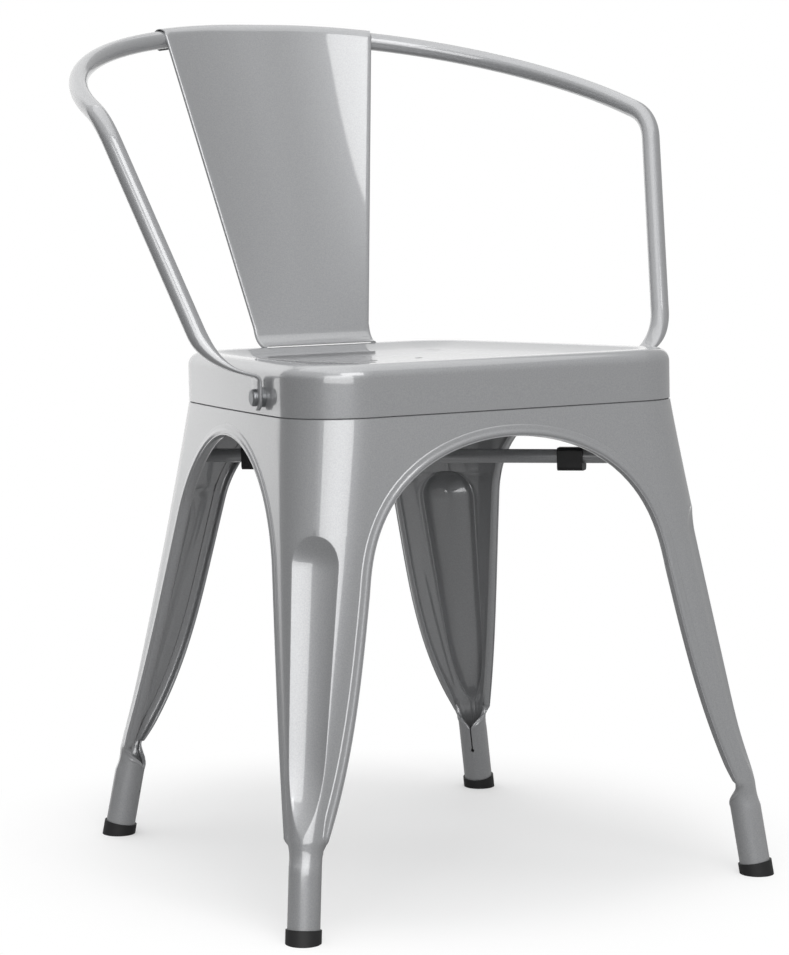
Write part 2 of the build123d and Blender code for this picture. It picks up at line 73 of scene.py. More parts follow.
def brightness(name, description, default):
    return FloatProperty(name=name, description="Brightness of " + description, default=default, min=0.0)


def colour(name, description, default):
    return StringProperty(name=name, description=description + ", as sRGB hex", default=default)


class SeatSizes(bpy.types.PropertyGroup):
    front_half: metres("Front Half Width", "From the middle to a front corner", 0.187)
    rear_half: metres("Rear Half Width", "From the middle to a rear corner", 0.135)
    depth: metres("Depth", "Front edge to rear edge", 0.3393)
    side_bow: metres("Side Bow", "How far the long sides bow out", 0.005)
    front_corner: metres("Front Corner", "Radius of the front corners", 0.050)
    rear_corner: metres("Rear Corner", "Radius of the rear corners", 0.062)
    skirt: metres("Skirt", "Height of the skirt above the seam", 0.0417)
    rim_radius: metres("Rim Radius", "Rounding of the top edge", 0.011)
    dish_inset: metres("Dish Inset", "From the skirt to the edge of the dish", 0.025)
    dish_depth: metres("Dish Depth", "Depth of the dish at its middle", 0.0112)
    hole: metres("Drain Hole", "Diameter of a drain hole", 0.007)
    hole_pitch: metres("Hole Pitch", "Between drain holes in a row", 0.045)
    hole_rows: metres("Hole Rows", "Between the two rows of drain holes", 0.066)
    hole_middle: metres("Hole Middle", "Front edge to the middle of the drain holes", 0.190)
    tilt: degrees("Tilt", "How far the seat tips back", 2.45)
    sheet: metres("Sheet", "Thickness of the pressed steel", 0.0015)


class LegSizes(bpy.types.PropertyGroup):
    front_spread: metres("Front Spread", "Sideways splay of a front foot", 0.0298)
    front_reach: metres("Front Reach", "Forward splay of a front foot", 0.0297)
    rear_spread: metres("Rear Spread", "Sideways splay of a rear foot", 0.0544)
    rear_reach: metres("Rear Reach", "Backward splay of a rear foot", 0.0313)
    tube: metres("Foot Tube", "Diameter of the rolled foot", 0.026)
    tube_height: metres("Tube Height", "Floor to the top of the rolled foot", 0.0589)
    slit: metres("Slit", "Length of the open slit in the rolled foot", 0.020)
    knee_rise: metres("Knee Rise", "Top of the rolled foot to the knee", 0.020)
    front_knee: metres("Front Knee Width", "Width of a front leg's wings at the knee", 0.0275)
    rear_knee: metres("Rear Knee Width", "Width of a rear leg's wings at the knee", 0.0245)
    haunch: metres("Haunch", "Seam to where the wings start to widen", 0.142)
    arch_drop: metres("Arch Drop", "Seam to the crown of an arch", 0.022)
    front_swell: metres("Front Swell", "How far the front arch's shoulders swell past a circle", 0.027)
    side_joint: metres("Side Joint", "Front corner to the weld on the side", 0.184)
    front_flute_top: metres("Front Flute Top", "Seam to the top of a front flute", 0.091)
    rear_flute_top: metres("Rear Flute Top", "Seam to the top of a rear flute", 0.081)
    front_flute_half: metres("Front Flute Half Width", "Half width near its top", 0.0206)
    rear_flute_half: metres("Rear Flute Half Width", "Half width near its top", 0.0255)
    rear_flute_turn: FloatProperty(
        name="Rear Flute Turn", description="Share of the corner by which it turns back",
        default=-0.02, min=-0.3, max=0.3)
    flute_above_knee: metres("Flute Above Knee", "Knee to the point of the flute", 0.001)
    flute_depth: FloatProperty(
        name="Flute Depth", description="Hollow of the flute as a share of its half width",
        default=0.24, min=0.0, max=0.6)
    rim: metres("Rim", "Width of the rolled rim along the arches", 0.0095)


class HoopSizes(bpy.types.PropertyGroup):
    tube: metres("Tube", "Diameter of the arm tube", 0.016)
    back_half: metres("Back Half Width", "Middle to a back corner", 0.236)
    back_y: metres("Back", "Front edge to the back of the hoop", 0.4254)
    back_height: metres("Back Height", "Seam to the back of the hoop", 0.3222)
    back_radius: metres("Back Radius", "Radius of the back corners", 0.250)
    arm_half: metres("Arm Half Width", "Middle to the front of an arm", 0.2687)
    arm_y: metres("Arm", "Front edge to the front of an arm", 0.187)
    arm_height: metres("Arm Height", "Seam to the front of an arm", 0.2398)
    arm_radius: metres("Arm Radius", "Radius of the bend at the front of an arm", 0.044)
    low_half: metres("Low Half Width", "Middle to the low bend", 0.2195)
    low_y: metres("Low Bend", "Front edge to the low bend", 0.1025)
    low_height: metres("Low Height", "Seam to the low bend", 0.0413)
    tongue_width: metres("Tongue Width", "Width of the flattened end", 0.019)
    tongue_thick: metres("Tongue Thickness", "Thickness of the flattened end", 0.0034)
    bolt_y: metres("Bolt", "Front edge to the bolt", 0.094)
    bolt_height: metres("Bolt Height", "Seam to the bolt", 0.014)
    spacer: metres("Spacer", "Thickness of the spacer under the tongue", 0.0033)


class SplatSizes(bpy.types.PropertyGroup):
    top_half: metres("Top Half Width", "Half width at the hoop", 0.107)
    bottom_half: metres("Bottom Half Width", "Half width at the seat", 0.057)
    foot_y: metres("Foot", "Front edge to the heel of the splat", 0.329)
    foot_length: metres("Foot Length", "Length of the foot on the seat", 0.0122)
    foot_taper: metres("Foot Taper", "How much narrower each side of the foot is at its tip", 0.003)
    bend: metres("Heel Radius", "Radius of the heel", 0.016)
    sheet: metres("Sheet", "Thickness of the splat", 0.0016)
    hem: metres("Hem", "Radius of the rolled side edges", 0.0018)
    wrap: degrees("Wrap", "How far the sleeve wraps round the tube", 238)


class Finishes(bpy.types.PropertyGroup):
    paint: colour("Paint", "Silver grey of the painted steel", "#A3A4A6")
    paint_shade: colour("Paint Shade", "Darker flakes in the paint", "#98999B")
    rubber: colour("Rubber", "Foot caps", "#1C1C1D")
    nylon: colour("Nylon", "Stacking clips", "#161617")
    zinc: colour("Zinc", "Bolts, nuts and spacers", "#8E9092")
    floor: colour("Floor", "Studio floor", "#F4F4F4")
    # Painted shade: a darker grey that only bounced light and reflections see on the floor near the chair, to
    # darken the chair's undersides and the insides of its legs
    painted_floor_shade: colour("Painted Floor Shade", "Floor as the chair sees it", "#9A9A9A")


class StageSettings(bpy.types.PropertyGroup):
    camera_x: metres("Camera X", "Camera's place to the right", -1.3551)
    camera_y: metres("Camera Y", "Camera's place from the front edge, towards the back", -2.1565)
    camera_z: metres("Camera Z", "Camera's height", 0.670)
    camera_yaw: degrees("Camera Yaw", "Turn to the right", 30.02)
    camera_pitch: degrees("Camera Pitch", "Turn down", 7.25)
    lens: FloatProperty(name="Lens", description="Focal length on the sensor, in mm", default=119.2, min=10.0)
    wall: brightness("Camera Wall", "the wide soft light behind the camera", 2.4)
    softbox: brightness("High Softbox", "the softbox high in front", 3.0)
    top: brightness("Top Softbox", "the softbox overhead", 0.85)
    room: brightness("Room", "the room on the right, which falls off to the left", 0.46)
    ceiling: brightness("Ceiling", "what the room gains overhead on the left", 0.55)


def sizes(name):
    """One group of settings of the scene."""
    return getattr(bpy.context.scene, "chair_" + name)


# Points and meshes: the chair is worked out in the level frame of its seat, in metres,
# with z = 0 at the seam under the skirt, y = 0 at the front edge and +y to the back

SIDEWAYS = np.array([1.0, 0.0, 0.0])
MIRROR = [-1.0, 1.0, 1.0]
FIT_GAP = 0.0003
SHARP_EDGE = 40.0
SHARP_TUBE_EDGE = 50.0
# Points this close are merged into one; the splat's small hems need a finer limit
DOUBLES = 2e-5
CLOSE_DOUBLES = 1e-6


def unit(vectors):
    vectors = np.asarray(vectors, float)
    return vectors / np.linalg.norm(vectors, axis=-1, keepdims=True)


def smooth_step(value):
    value = np.clip(value, 0.0, 1.0)
    return value * value * (3.0 - 2.0 * value)


def placed(points):
    """Seat-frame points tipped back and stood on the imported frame."""
    seat = sizes("seat")
    cos, sin = math.cos(seat.tilt), math.sin(seat.tilt)
    points = np.asarray(points, float)
    y = points[..., 1] * cos + points[..., 2] * sin + SEAT_LOW.y
    z = points[..., 2] * cos - points[..., 1] * sin + SEAT_LOW.z + seat.depth * sin
    return np.stack([points[..., 0], y, z], axis=-1)


def grid_faces(rows, columns, closed=False):
    """Quads of a grid of points, row by row; closed joins the last column to the first."""
    quads = []
    last = columns if closed else columns - 1
    for row in range(rows - 1):
        for column in range(last):
            after = (column + 1) % columns
            low, high = row * columns, (row + 1) * columns
            quads.append((low + column, low + after, high + after, high + column))
    return quads


class Shell:
    """Points and faces of one piece, gathered part by part in the seat frame."""

    def __init__(self):
        self.points = []
        self.faces = []
        self.count = 0

    def add(self, points, faces):
        points = np.asarray(points, float).reshape(-1, 3)
        self.points.append(points)
        self.faces += [tuple(index + self.count for index in face) for face in faces]
        self.count += len(points)

    def add_grid(self, rows, closed=False):
        rows = np.asarray(rows, float)
        self.add(rows, grid_faces(rows.shape[0], rows.shape[1], closed))

    def add_tube(self, rings):
        """A closed tube through rings of points, with flat ends."""
        rings = np.asarray(rings, float)
        count, around = rings.shape[:2]
        faces = grid_faces(count, around, closed=True)
        faces.append(tuple(reversed(range(around))))
        faces.append(tuple(range((count - 1) * around, count * around)))
        spine = np.gradient(rings.mean(axis=1), axis=0)[count // 2]
        middle = rings[count // 2] - rings[count // 2].mean(axis=0)
        turning = np.cross(middle, np.roll(middle, -1, axis=0)).sum(axis=0)
        if turning @ spine < 0:
            faces = [tuple(reversed(face)) for face in faces]
        self.add(rings, faces)

    def mirrored(self):
        other = Shell()
        for points in self.points:
            other.points.append(points * MIRROR)
        other.faces = [tuple(reversed(face)) for face in self.faces]
        other.count = self.count
        return other

    def joined(self, other):
        whole = Shell()
        for shell in (self, other):
            whole.add(np.concatenate(shell.points), shell.faces)
        return whole


def plain_mesh(piece):
    """Mesh of a piece with its modifiers applied, which are then removed."""
    graph = bpy.context.evaluated_depsgraph_get()
    graph.update()
    mesh = bpy.data.meshes.new_from_object(piece.evaluated_get(graph))
    mesh.name = piece.name
    piece.modifiers.clear()
    return mesh


def painted_piece(name, shell, sharp=SHARP_EDGE, thickness=0.0, merge=DOUBLES):
    """One painted object: doubles merged, sheet thickened inwards, shading smoothed, riding on the frame."""
    mesh = bpy.data.meshes.new(name)
    mesh.from_pydata(placed(np.concatenate(shell.points)).tolist(), [], shell.faces)
    piece = bpy.data.objects.new(name, mesh)
    bpy.context.scene.collection.objects.link(piece)
    weld = piece.modifiers.new("Weld", "WELD")
    weld.merge_threshold = merge
    if thickness:
        wall = piece.modifiers.new("Wall", "SOLIDIFY")
        wall.thickness = thickness
        wall.offset = -1.0
        wall.use_even_offset = True
        wall.thickness_clamp = 1.0
    mesh = plain_mesh(piece)
    piece.data = mesh
    mesh.polygons.foreach_set("use_smooth", [True] * len(mesh.polygons))
    mesh.set_sharp_from_angle(angle=math.radians(sharp))
    mesh.materials.clear()
    mesh.materials.append(painted_steel())
    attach(piece, BODY)
    return piece


# Legs: corner lines, wings and rounded, fluted corners

SIDE_BOW_DROP = 0.345
CORNER_EASE = 1.5


def seat_corner(end):
    seat = sizes("seat")
    if end == "front":
        return np.array([seat.front_half, 0.0, 0.0])
    return np.array([seat.rear_half, seat.depth, 0.0])


def floor_level(y):
    """Height of the floor in the level frame of the seat."""
    seat = sizes("seat")
    seam = SEAT_LOW.z + seat.depth * math.sin(seat.tilt)
    return (y * math.sin(seat.tilt) - seam) / math.cos(seat.tilt)


def foot_centre(end):
    seat, legs = sizes("seat"), sizes("legs")
    if end == "front":
        x, y = seat.front_half + legs.front_spread, -legs.front_reach
    else:
        x, y = seat.rear_half + legs.rear_spread, seat.depth + legs.rear_reach
    return np.array([x, y, floor_level(y)])


def tube_top(end):
    """From the seam down to the top of a foot tube."""
    return -foot_centre(end)[2] - sizes("legs").tube_height


def knee_drop(end):
    return tube_top(end) - sizes("legs").knee_rise


def knee_width(end):
    return sizes("legs").front_knee if end == "front" else sizes("legs").rear_knee


def flute_top(end):
    return sizes("legs").front_flute_top if end == "front" else sizes("legs").rear_flute_top


def flute_bottom(end):
    return knee_drop(end) - sizes("legs").flute_above_knee


def other_end(end):
    return "rear" if end == "front" else "front"


def leg_corner(end, z):
    """Sharp outer corner of a right-hand leg at levels z."""
    top, foot = seat_corner(end), foot_centre(end)
    along = unit(seat_corner(other_end(end)) - top)
    inward = along - SIDEWAYS
    half_angle = math.acos(np.dot(-SIDEWAYS, along)) / 2
    corner = foot - unit(inward) * (sizes("legs").tube / 2 / math.sin(half_angle))
    return top + (corner - top) * (np.asarray(z, float) / foot[2])[..., None]


class Wing:
    """One side of the leg frame at levels z, from a leg's corner towards the next leg."""

    def __init__(self, end, side, z):
        self.start = leg_corner(end, z)
        if side == "across":
            stop = self.start * MIRROR
            self.bow = np.zeros_like(z)
            self.outward = np.zeros_like(self.start)
            self.outward[:, 1] = -1.0 if end == "front" else 1.0
        else:
            stop = leg_corner(other_end(end), z)
            self.bow = sizes("seat").side_bow * np.maximum(0.0, 1.0 + z / SIDE_BOW_DROP)
            chord = unit(stop - self.start)
            lean = -chord[:, 0] if end == "front" else chord[:, 0]
            self.outward = np.stack([np.abs(chord[:, 1]), lean, np.zeros_like(lean)], axis=-1)
        self.length = np.linalg.norm(stop - self.start, axis=-1)
        self.along = unit(stop - self.start)

    def rise(self, distance):
        share = distance / self.length
        return 4.0 * self.bow * share * (1.0 - share)

    def point(self, distance, offset=0.0):
        lift = self.rise(distance) + offset
        return self.start + self.along * distance[:, None] + self.outward * lift[:, None]


class Corner:
    """Rounded corner of a leg at levels z."""

    def __init__(self, end, z):
        seat, legs = sizes("seat"), sizes("legs")
        self.across = Wing(end, "across", z)
        self.along = Wing(end, "along", z)
        cosine = np.sum(self.across.along * self.along.along, axis=-1)
        half_angle = np.arccos(cosine) / 2
        top = seat.front_corner if end == "front" else seat.rear_corner
        share = np.clip(-z / tube_top(end), 0.0, 1.0)
        self.radius = top + (legs.tube / 2 - top) * share ** CORNER_EASE
        self.setback = self.radius / np.tan(half_angle)
        inward = unit(self.across.along + self.along.along)
        self.outward = -inward
        self.sideways = unit(self.across.along - self.along.along)
        self.centre = self.across.start + inward * (self.radius / np.sin(half_angle))[:, None]
        self.sweep = math.pi / 2 - half_angle

    def at(self, angle, radius):
        """Points at an angle from the corner's outward line."""
        radial = self.outward * np.cos(angle)[:, None] + self.sideways * np.sin(angle)[:, None]
        return self.centre + radial * radius[:, None]

    def bowed(self, turn, radius):
        """Points round the corner; turn runs from 1 at the front or back wing to -1 at the side wing."""
        bow = self.across.outward * (self.across.rise(self.setback) * (1 + turn) / 2)[:, None]
        bow = bow + self.along.outward * (self.along.rise(self.setback) * (1 - turn) / 2)[:, None]
        return self.at(self.sweep * turn, radius) + bow


FLUTE_HALF_FOOT = 0.0145
FLUTE_ROUND_TOP = 0.026
FLUTE_POINT_RUN = 0.075
FLUTE_TOP_RUN = 0.028
FLUTE_FOOT_RUN = 0.022
FLUTE_EDGE = 0.0006
FLUTE_NARROWEST = 0.0012
# Columns across the flute as shares of its half width, close together at its edge
FLUTE_SHARES = [0.0, 0.12, 0.24, 0.36, 0.48, 0.58, 0.67, 0.75, 0.82, 0.87, 0.91, 0.935, 0.955, 0.97, 0.985,
                1.0, 1.012, 1.025, 1.04, 1.06, 1.1]


def flute_half_width(end, z):
    """Half width of the flute at levels z: round at the top and drawn to a point at the foot."""
    legs = sizes("legs")
    drop, start = -z, flute_top(end)
    widest = legs.front_flute_half if end == "front" else legs.rear_flute_half
    share = (drop - start) / (flute_bottom(end) - start)
    half = widest + (FLUTE_HALF_FOOT - widest) * np.clip(share, 0.0, 1.0)
    top = np.clip((start + FLUTE_ROUND_TOP - drop) / FLUTE_ROUND_TOP, 0.0, 1.0)
    foot = np.clip((drop - flute_bottom(end) + FLUTE_POINT_RUN) / FLUTE_POINT_RUN, 0.0, 1.0)
    return half * np.sqrt(1.0 - top ** 2) * (1.0 - foot ** 3)


# Width of each wing at the haunch, and how straight its edge runs from there down to the knee
WING_FLARES = {
    ("front", "across"): (0.059, 0.5),
    ("front", "along"): (0.062, 0.9),
    ("rear", "across"): (0.060, 0.3),
    ("rear", "along"): (0.061, 0.8),
}
SWELL_EASE = 1.5


class ArchHalf:
    """Half of an arch in the upright plane of its side: a flaring edge and a round crown."""

    def __init__(self, end, side):
        legs = sizes("legs")
        if side == "across":
            self.origin = np.array([0.0, seat_corner(end)[1], 0.0])
            self.axis = SIDEWAYS
            weld = 0.0
        else:
            seam = Wing("front", "along", np.zeros(1))
            self.origin = seam.start[0]
            self.axis = seam.along[0]
            weld = legs.side_joint
        self.towards = towards = -1.0 if side == "across" or end == "rear" else 1.0
        self.flare, self.straight = WING_FLARES[end, side]
        self.swell = legs.front_swell if (end, side) == ("front", "across") else 0.0
        self.haunch, self.knee, self.narrow = legs.haunch, knee_drop(end), knee_width(end)
        corners = self.local(leg_corner(end, np.array([-self.haunch, -self.knee])))
        self.corner = corners[0]
        self.lean = (corners[0] - corners[1]) / (self.knee - self.haunch)
        widening = (self.flare - self.narrow) / (self.knee - self.haunch)
        self.slope = self.lean + towards * self.straight * widening
        shoulder_x = self.corner + towards * self.flare + self.slope * (self.haunch - legs.arch_drop)
        run = abs(weld - shoulder_x)
        fall = np.array([-towards * self.slope, -1.0])
        turn = math.acos(fall[0] / np.linalg.norm(fall)) / 2
        self.radius = run * math.tan(turn)
        self.middle = np.array([weld, -legs.arch_drop - self.radius])
        self.tangent_z = -legs.arch_drop - run / np.linalg.norm(fall)
        if self.tangent_z < -self.haunch:
            raise ValueError("the crown of an arch reaches below the haunch")

    def local(self, points):
        return (np.asarray(points) - self.origin) @ self.axis

    def edge(self, z):
        """Place of the arch's edge along the side at levels z."""
        down = np.clip((-z - self.haunch) / (self.knee - self.haunch), 0.0, 1.0)
        closing = self.straight * down + (1.0 - self.straight) * down ** 3
        width = self.flare - (self.flare - self.narrow) * closing
        slope = np.where(z > -self.haunch, self.slope, self.lean)
        line = self.corner + self.towards * width + slope * (z + self.haunch)
        fall = np.clip(self.radius ** 2 - (z - self.middle[1]) ** 2, 0.0, None)
        rise = np.clip((z - self.tangent_z) / (-sizes("legs").arch_drop - self.tangent_z), 0.0, 1.0)
        swell = self.swell * rise ** SWELL_EASE * np.sqrt(1.0 - rise)
        crown = self.middle[0] - self.towards * (np.sqrt(fall) + swell)
        return np.where(z > self.tangent_z, crown, line)

    def reach(self, wing, z):
        """Length of a wing from its corner to the arch's edge, or to the weld above the crown."""
        edge = np.where(z >= -sizes("legs").arch_drop, self.middle[0], self.edge(np.maximum(z, -self.knee)))
        reach = (edge - self.local(wing.start)) / (wing.along @ self.axis)
        return np.where(z < -self.knee, self.narrow, reach)


WING_COLUMNS = 14
CORNER_COLUMNS = 8
WING_MARGIN = 0.002
# Gap under the skirt, lap inside it, and the slit in the foot tube with its end hole
SEAM_GAP = 0.0012
LAP = 0.0055
HOLE_RADIUS = 0.0016
SLIT_HALF = 0.0006
SHEET_ABOVE_FLOOR = 0.0065
# Levels below the seam, between which a leg's rows are evenly spaced
SHIN_TOP = 0.27
THIGH_TOP = 0.125
FLUTE_LIP = 0.004
APRON_ROWS = 7
CROWN_ROWS = 38
CROWN_DROP_ROOT = 0.085
CROWN_SPREAD = 0.30


def leg_levels(end):
    """Levels of a leg's rows from the foot up, close together where the shape turns quickly."""
    legs = sizes("legs")
    crown = -legs.arch_drop - np.linspace(CROWN_DROP_ROOT, 0.0, CROWN_ROWS) ** 2 / CROWN_SPREAD
    slit_end = -tube_top(end) - legs.slit
    # Each band's upper level, and its count of rows
    bands = [
        (slit_end - 2 * HOLE_RADIUS, 4),
        (slit_end, 9),
        (-tube_top(end), 5),
        (-knee_drop(end), 14),
        (-SHIN_TOP, 22),
        (-THIGH_TOP, 40),
        (-flute_top(end) - FLUTE_LIP, 14),
        (-flute_top(end), 9),
        (crown[0], 8),
    ]
    apron = np.linspace(-legs.arch_drop, -SEAM_GAP, APRON_ROWS)
    levels = [crown, apron, [-SEAM_GAP / 2, -SEAM_GAP / 5, LAP]]
    low = foot_centre(end)[2] + SHEET_ABOVE_FLOOR
    for high, rows in bands:
        levels.append(np.linspace(low, high, rows))
        low = high
    return np.unique(np.round(np.concatenate(levels), 6))


def slit_half_angle(end, z):
    """Half opening of the slit in the foot tube: a narrow gap that ends in a small hole."""
    legs = sizes("legs")
    stop = -tube_top(end) - legs.slit
    hole = HOLE_RADIUS ** 2 - (z - stop + HOLE_RADIUS) ** 2
    half = np.sqrt(np.clip(hole, 0.0, None))
    half = np.where(z >= stop, np.maximum(half, SLIT_HALF), half)
    return half / (legs.tube / 2)


class Section:
    """Outer face of a leg at levels z, by the distance round it from the middle of its corner."""

    def __init__(self, end, z):
        seat, legs = sizes("seat"), sizes("legs")
        self.bend = bend = Corner(end, z)
        self.arc = bend.radius * bend.sweep
        self.offset = -(seat.sheet + FIT_GAP) * smooth_step((z + SEAM_GAP) / SEAM_GAP)
        self.flats = {}
        for side, wing in (("across", bend.across), ("along", bend.along)):
            self.flats[side] = ArchHalf(end, side).reach(wing, z) - bend.setback
        rolled = np.clip((-z - knee_drop(end)) / legs.knee_rise, 0.0, 1.0)
        self.rolled = 0.5 * rolled + 0.5 * smooth_step(rolled)
        self.tube_radius = np.full_like(z, legs.tube / 2)
        self.tip = math.pi - slit_half_angle(end, z)
        self.half = np.maximum(flute_half_width(end, z), FLUTE_NARROWEST)
        self.middle = 0.0 * z if end == "front" else legs.rear_flute_turn * self.arc
        top = np.clip((-z - flute_top(end)) / FLUTE_TOP_RUN, 0.0, 1.0)
        self.fade = np.sqrt(top * (2.0 - top)) * smooth_step((z + flute_bottom(end)) / FLUTE_FOOT_RUN)

    def fall(self, place):
        """How far the corner falls away from its outermost line."""
        radius, sweep = self.bend.radius, self.bend.sweep
        place = np.abs(place)
        within = np.minimum(place, self.arc)
        return radius * (1.0 - np.cos(within / radius)) + (place - within) * np.sin(sweep)

    def dent(self, place):
        """Depth of the flute, with its edges rounded over."""
        place = place - self.middle
        hollow = sizes("legs").flute_depth * self.half * (1.0 - (place / self.half) ** 2)
        depth = self.fall(self.half) - self.fall(place) + hollow
        return (depth + np.sqrt(depth ** 2 + FLUTE_EDGE ** 2)) / 2 * self.fade

    def points(self, place):
        """Points of one column; places are positive towards the front or back wing."""
        bend, offset = self.bend, self.offset
        ahead = place > 0
        turn = np.clip(place / self.arc, -1.0, 1.0)
        over = np.maximum(np.abs(place) - self.arc, 0.0)
        across = bend.across.point(bend.setback + over, offset)
        along = bend.along.point(bend.setback + over, offset)
        on_wing = np.where(ahead[:, None], across, along)
        flat = np.where((over > 0)[:, None], on_wing, bend.bowed(turn, bend.radius + offset))
        share = over / np.where(ahead, self.flats["across"], self.flats["along"])
        angle = np.sign(place) * (np.abs(turn) * bend.sweep + (self.tip - bend.sweep) * share)
        curled = bend.at(angle, self.tube_radius)
        flat = flat - bend.outward * self.dent(place)[:, None]
        return flat + (curled - flat) * self.rolled[:, None]

    def places(self, side):
        """Places of the columns on one side, from the arch's edge in to the flute."""
        sign = 1.0 if side == "across" else -1.0
        inner = sign * self.middle + self.half * FLUTE_SHARES[-1]
        outer = np.maximum(self.arc, inner + WING_MARGIN)
        edge = self.arc + self.flats[side]
        wing = [outer + (edge - outer) * share for share in np.linspace(1.0, 0.0, WING_COLUMNS)[:-1]]
        corner = [inner + (outer - inner) * share for share in np.linspace(1.0, 0.0, CORNER_COLUMNS)[:-1]]
        return [sign * place for place in wing + corner]


def leg_rows(end):
    """Grid of points of a right-hand leg's outer face, and its levels."""
    z = leg_levels(end)
    section = Section(end, z)
    places = section.places("across")
    for share in FLUTE_SHARES[::-1] + [-share for share in FLUTE_SHARES[1:]]:
        places.append(section.middle + section.half * share)
    places += section.places("along")[::-1]
    return np.stack([section.points(place) for place in places], axis=1), z


# Section of a rolled rim, in shares of its width: in from the sheet's edge, and out from the sheet
RIM_PROFILE = [
    (1.05, -0.06), (1.0, -0.01), (0.96, 0.02), (0.92, 0.045), (0.87, 0.056), (0.74, 0.06), (0.6, 0.062),
    (0.53, 0.075), (0.46, 0.1), (0.38, 0.122), (0.3, 0.125), (0.22, 0.105), (0.14, 0.05), (0.07, -0.05),
    (0.02, -0.17), (0.0, -0.3), (0.0, -0.62), (0.03, -0.74), (0.1, -0.84), (0.2, -0.88), (0.3, -0.85),
    (0.37, -0.76), (0.38, -0.64), (0.34, -0.5), (0.4, -0.35), (0.6, -0.24), (1.05, -0.24),
]
RIM_NARROWING = 0.7
RIM_NARROWS_ABOVE_KNEE = 0.02
RIM_TURN_RUN = 0.05
RIM_OVERRUN = 0.001
LEVEL_ROUNDING = 1e-6
NEVER_ZERO = 1e-12


def rim_rings(end, side, rows, z):
    """Rings of the rolled rim that follows one edge of a leg's grid, from the weld to the foot tube."""
    legs = sizes("legs")
    edge, beside = (rows[:, 0], rows[:, 1]) if side == "across" else (rows[:, -1], rows[:, -2])
    keep = (z <= -legs.arch_drop + LEVEL_ROUNDING) & (z >= -tube_top(end) - RIM_OVERRUN)
    edge, beside, z = edge[keep][::-1], beside[keep][::-1], z[keep][::-1]
    tangent = unit(np.gradient(edge, axis=0))
    wing = Wing(end, side, z)
    down = unit(np.gradient(wing.start, axis=0))
    flat_normal = unit(np.cross(wing.along, down))
    flat_normal *= np.sign(np.sum(flat_normal * wing.outward, axis=-1, keepdims=True))
    grid_normal = unit(np.cross(edge - beside, tangent) + NEVER_ZERO)
    flat = len(z) // 2
    grid_normal *= np.sign(grid_normal[flat] @ flat_normal[flat])
    share = smooth_step((-z - legs.haunch) / RIM_TURN_RUN)[:, None]
    normal = unit(flat_normal * (1.0 - share) + grid_normal * share)
    inside = unit(np.cross(normal, tangent))
    inside *= np.sign(inside[flat] @ (beside - edge)[flat])
    tangent[0] = wing.along[0]
    inside[0] = unit(np.cross(normal[0], tangent[0]))
    inside[0] *= np.sign(inside[0][2])
    below = -z - knee_drop(end) + RIM_NARROWS_ABOVE_KNEE
    size = legs.rim * (1.0 - RIM_NARROWING * smooth_step(below / (legs.knee_rise + RIM_NARROWS_ABOVE_KNEE)))
    rings = []
    for into, out in RIM_PROFILE:
        rings.append(edge + inside * (size * into)[:, None] + normal * (size * out)[:, None])
    return np.stack(rings, axis=1)


def leg_shells(end):
    """Sheet and rims of a right-hand leg."""
    rows, z = leg_rows(end)
    sheet, rims = Shell(), Shell()
    sheet.add_grid(rows if end == "front" else rows[:, ::-1])
    for side in ("across", "along"):
        rims.add_tube(rim_rings(end, side, rows, z))
    return sheet, rims


class CHAIR_OT_legs(bpy.types.Operator):
    """Presses the four legs: fluted corners, arched wings, rolled rims and foot tubes"""

    bl_idname = "chair.legs"
    bl_label = "Legs"

    def execute(self, context):
        for end in ENDS:
            shells = leg_shells(end)
            for side in HANDS:
                sheet, rims = shells if side == "right" else [shell.mirrored() for shell in shells]
                leg = painted_piece(f"leg_sheet_{end}_{side}", sheet, thickness=sizes("seat").sheet)
                painted_piece(f"leg_rims_{end}_{side}", rims, sharp=SHARP_TUBE_EDGE)
                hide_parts(f"leg_{end}_{side}")
        return {"FINISHED"}


# Seat pan

FRONT_COLUMNS = 20
TURN_COLUMNS = 25
SIDE_COLUMNS = 30
REAR_COLUMNS = 15
SKIRT_HEM = 0.0008
SKIRT_START = 0.004
SKIRT_ROWS = 8
RIM_ROWS = 12
DISH_ROWS = 22
DISH_FORWARD = 0.018
DISH_CLOSING = 0.98
DISH_ROUNDNESS = 0.8
# Rows over the edge of the dish: in from the edge, and down from the top of the seat
DISH_EDGE = [(-0.006, 0.0), (-0.002, 0.0001), (-0.0006, 0.0004), (0.0006, 0.0008), (0.0022, 0.0014),
             (0.006, 0.0026), (0.012, 0.0042), (0.018, 0.0055)]
HOLES_IN_ROW = 3
HOLE_SIDES = 40
PUNCH_LENGTH = 0.03


def seat_ring(inset, height):
    """Closed ring of points round the seat, moved in from the skirt."""
    level = np.zeros(1)
    front, rear = Corner("front", level), Corner("rear", level)
    side = front.along
    half = []
    for x in np.linspace(0.0, front.across.start[0, 0] - front.setback[0], FRONT_COLUMNS)[:-1]:
        half.append([x, inset, 0.0])
    for turn in np.linspace(1.0, -1.0, TURN_COLUMNS)[:-1]:
        half.append(front.bowed(np.array([turn]), front.radius - inset)[0])
    for distance in np.linspace(front.setback[0], side.length[0] - rear.setback[0], SIDE_COLUMNS)[:-1]:
        half.append(side.point(np.array([distance]), -inset)[0])
    for turn in np.linspace(-1.0, 1.0, TURN_COLUMNS)[:-1]:
        half.append(rear.bowed(np.array([turn]), rear.radius - inset)[0])
    for x in np.linspace(rear.across.start[0, 0] - rear.setback[0], 0.0, REAR_COLUMNS):
        half.append([x, sizes("seat").depth - inset, 0.0])
    half = np.array(half)
    ring = np.concatenate([half, half[1:-1][::-1] * MIRROR])
    ring[:, 2] = height
    return ring


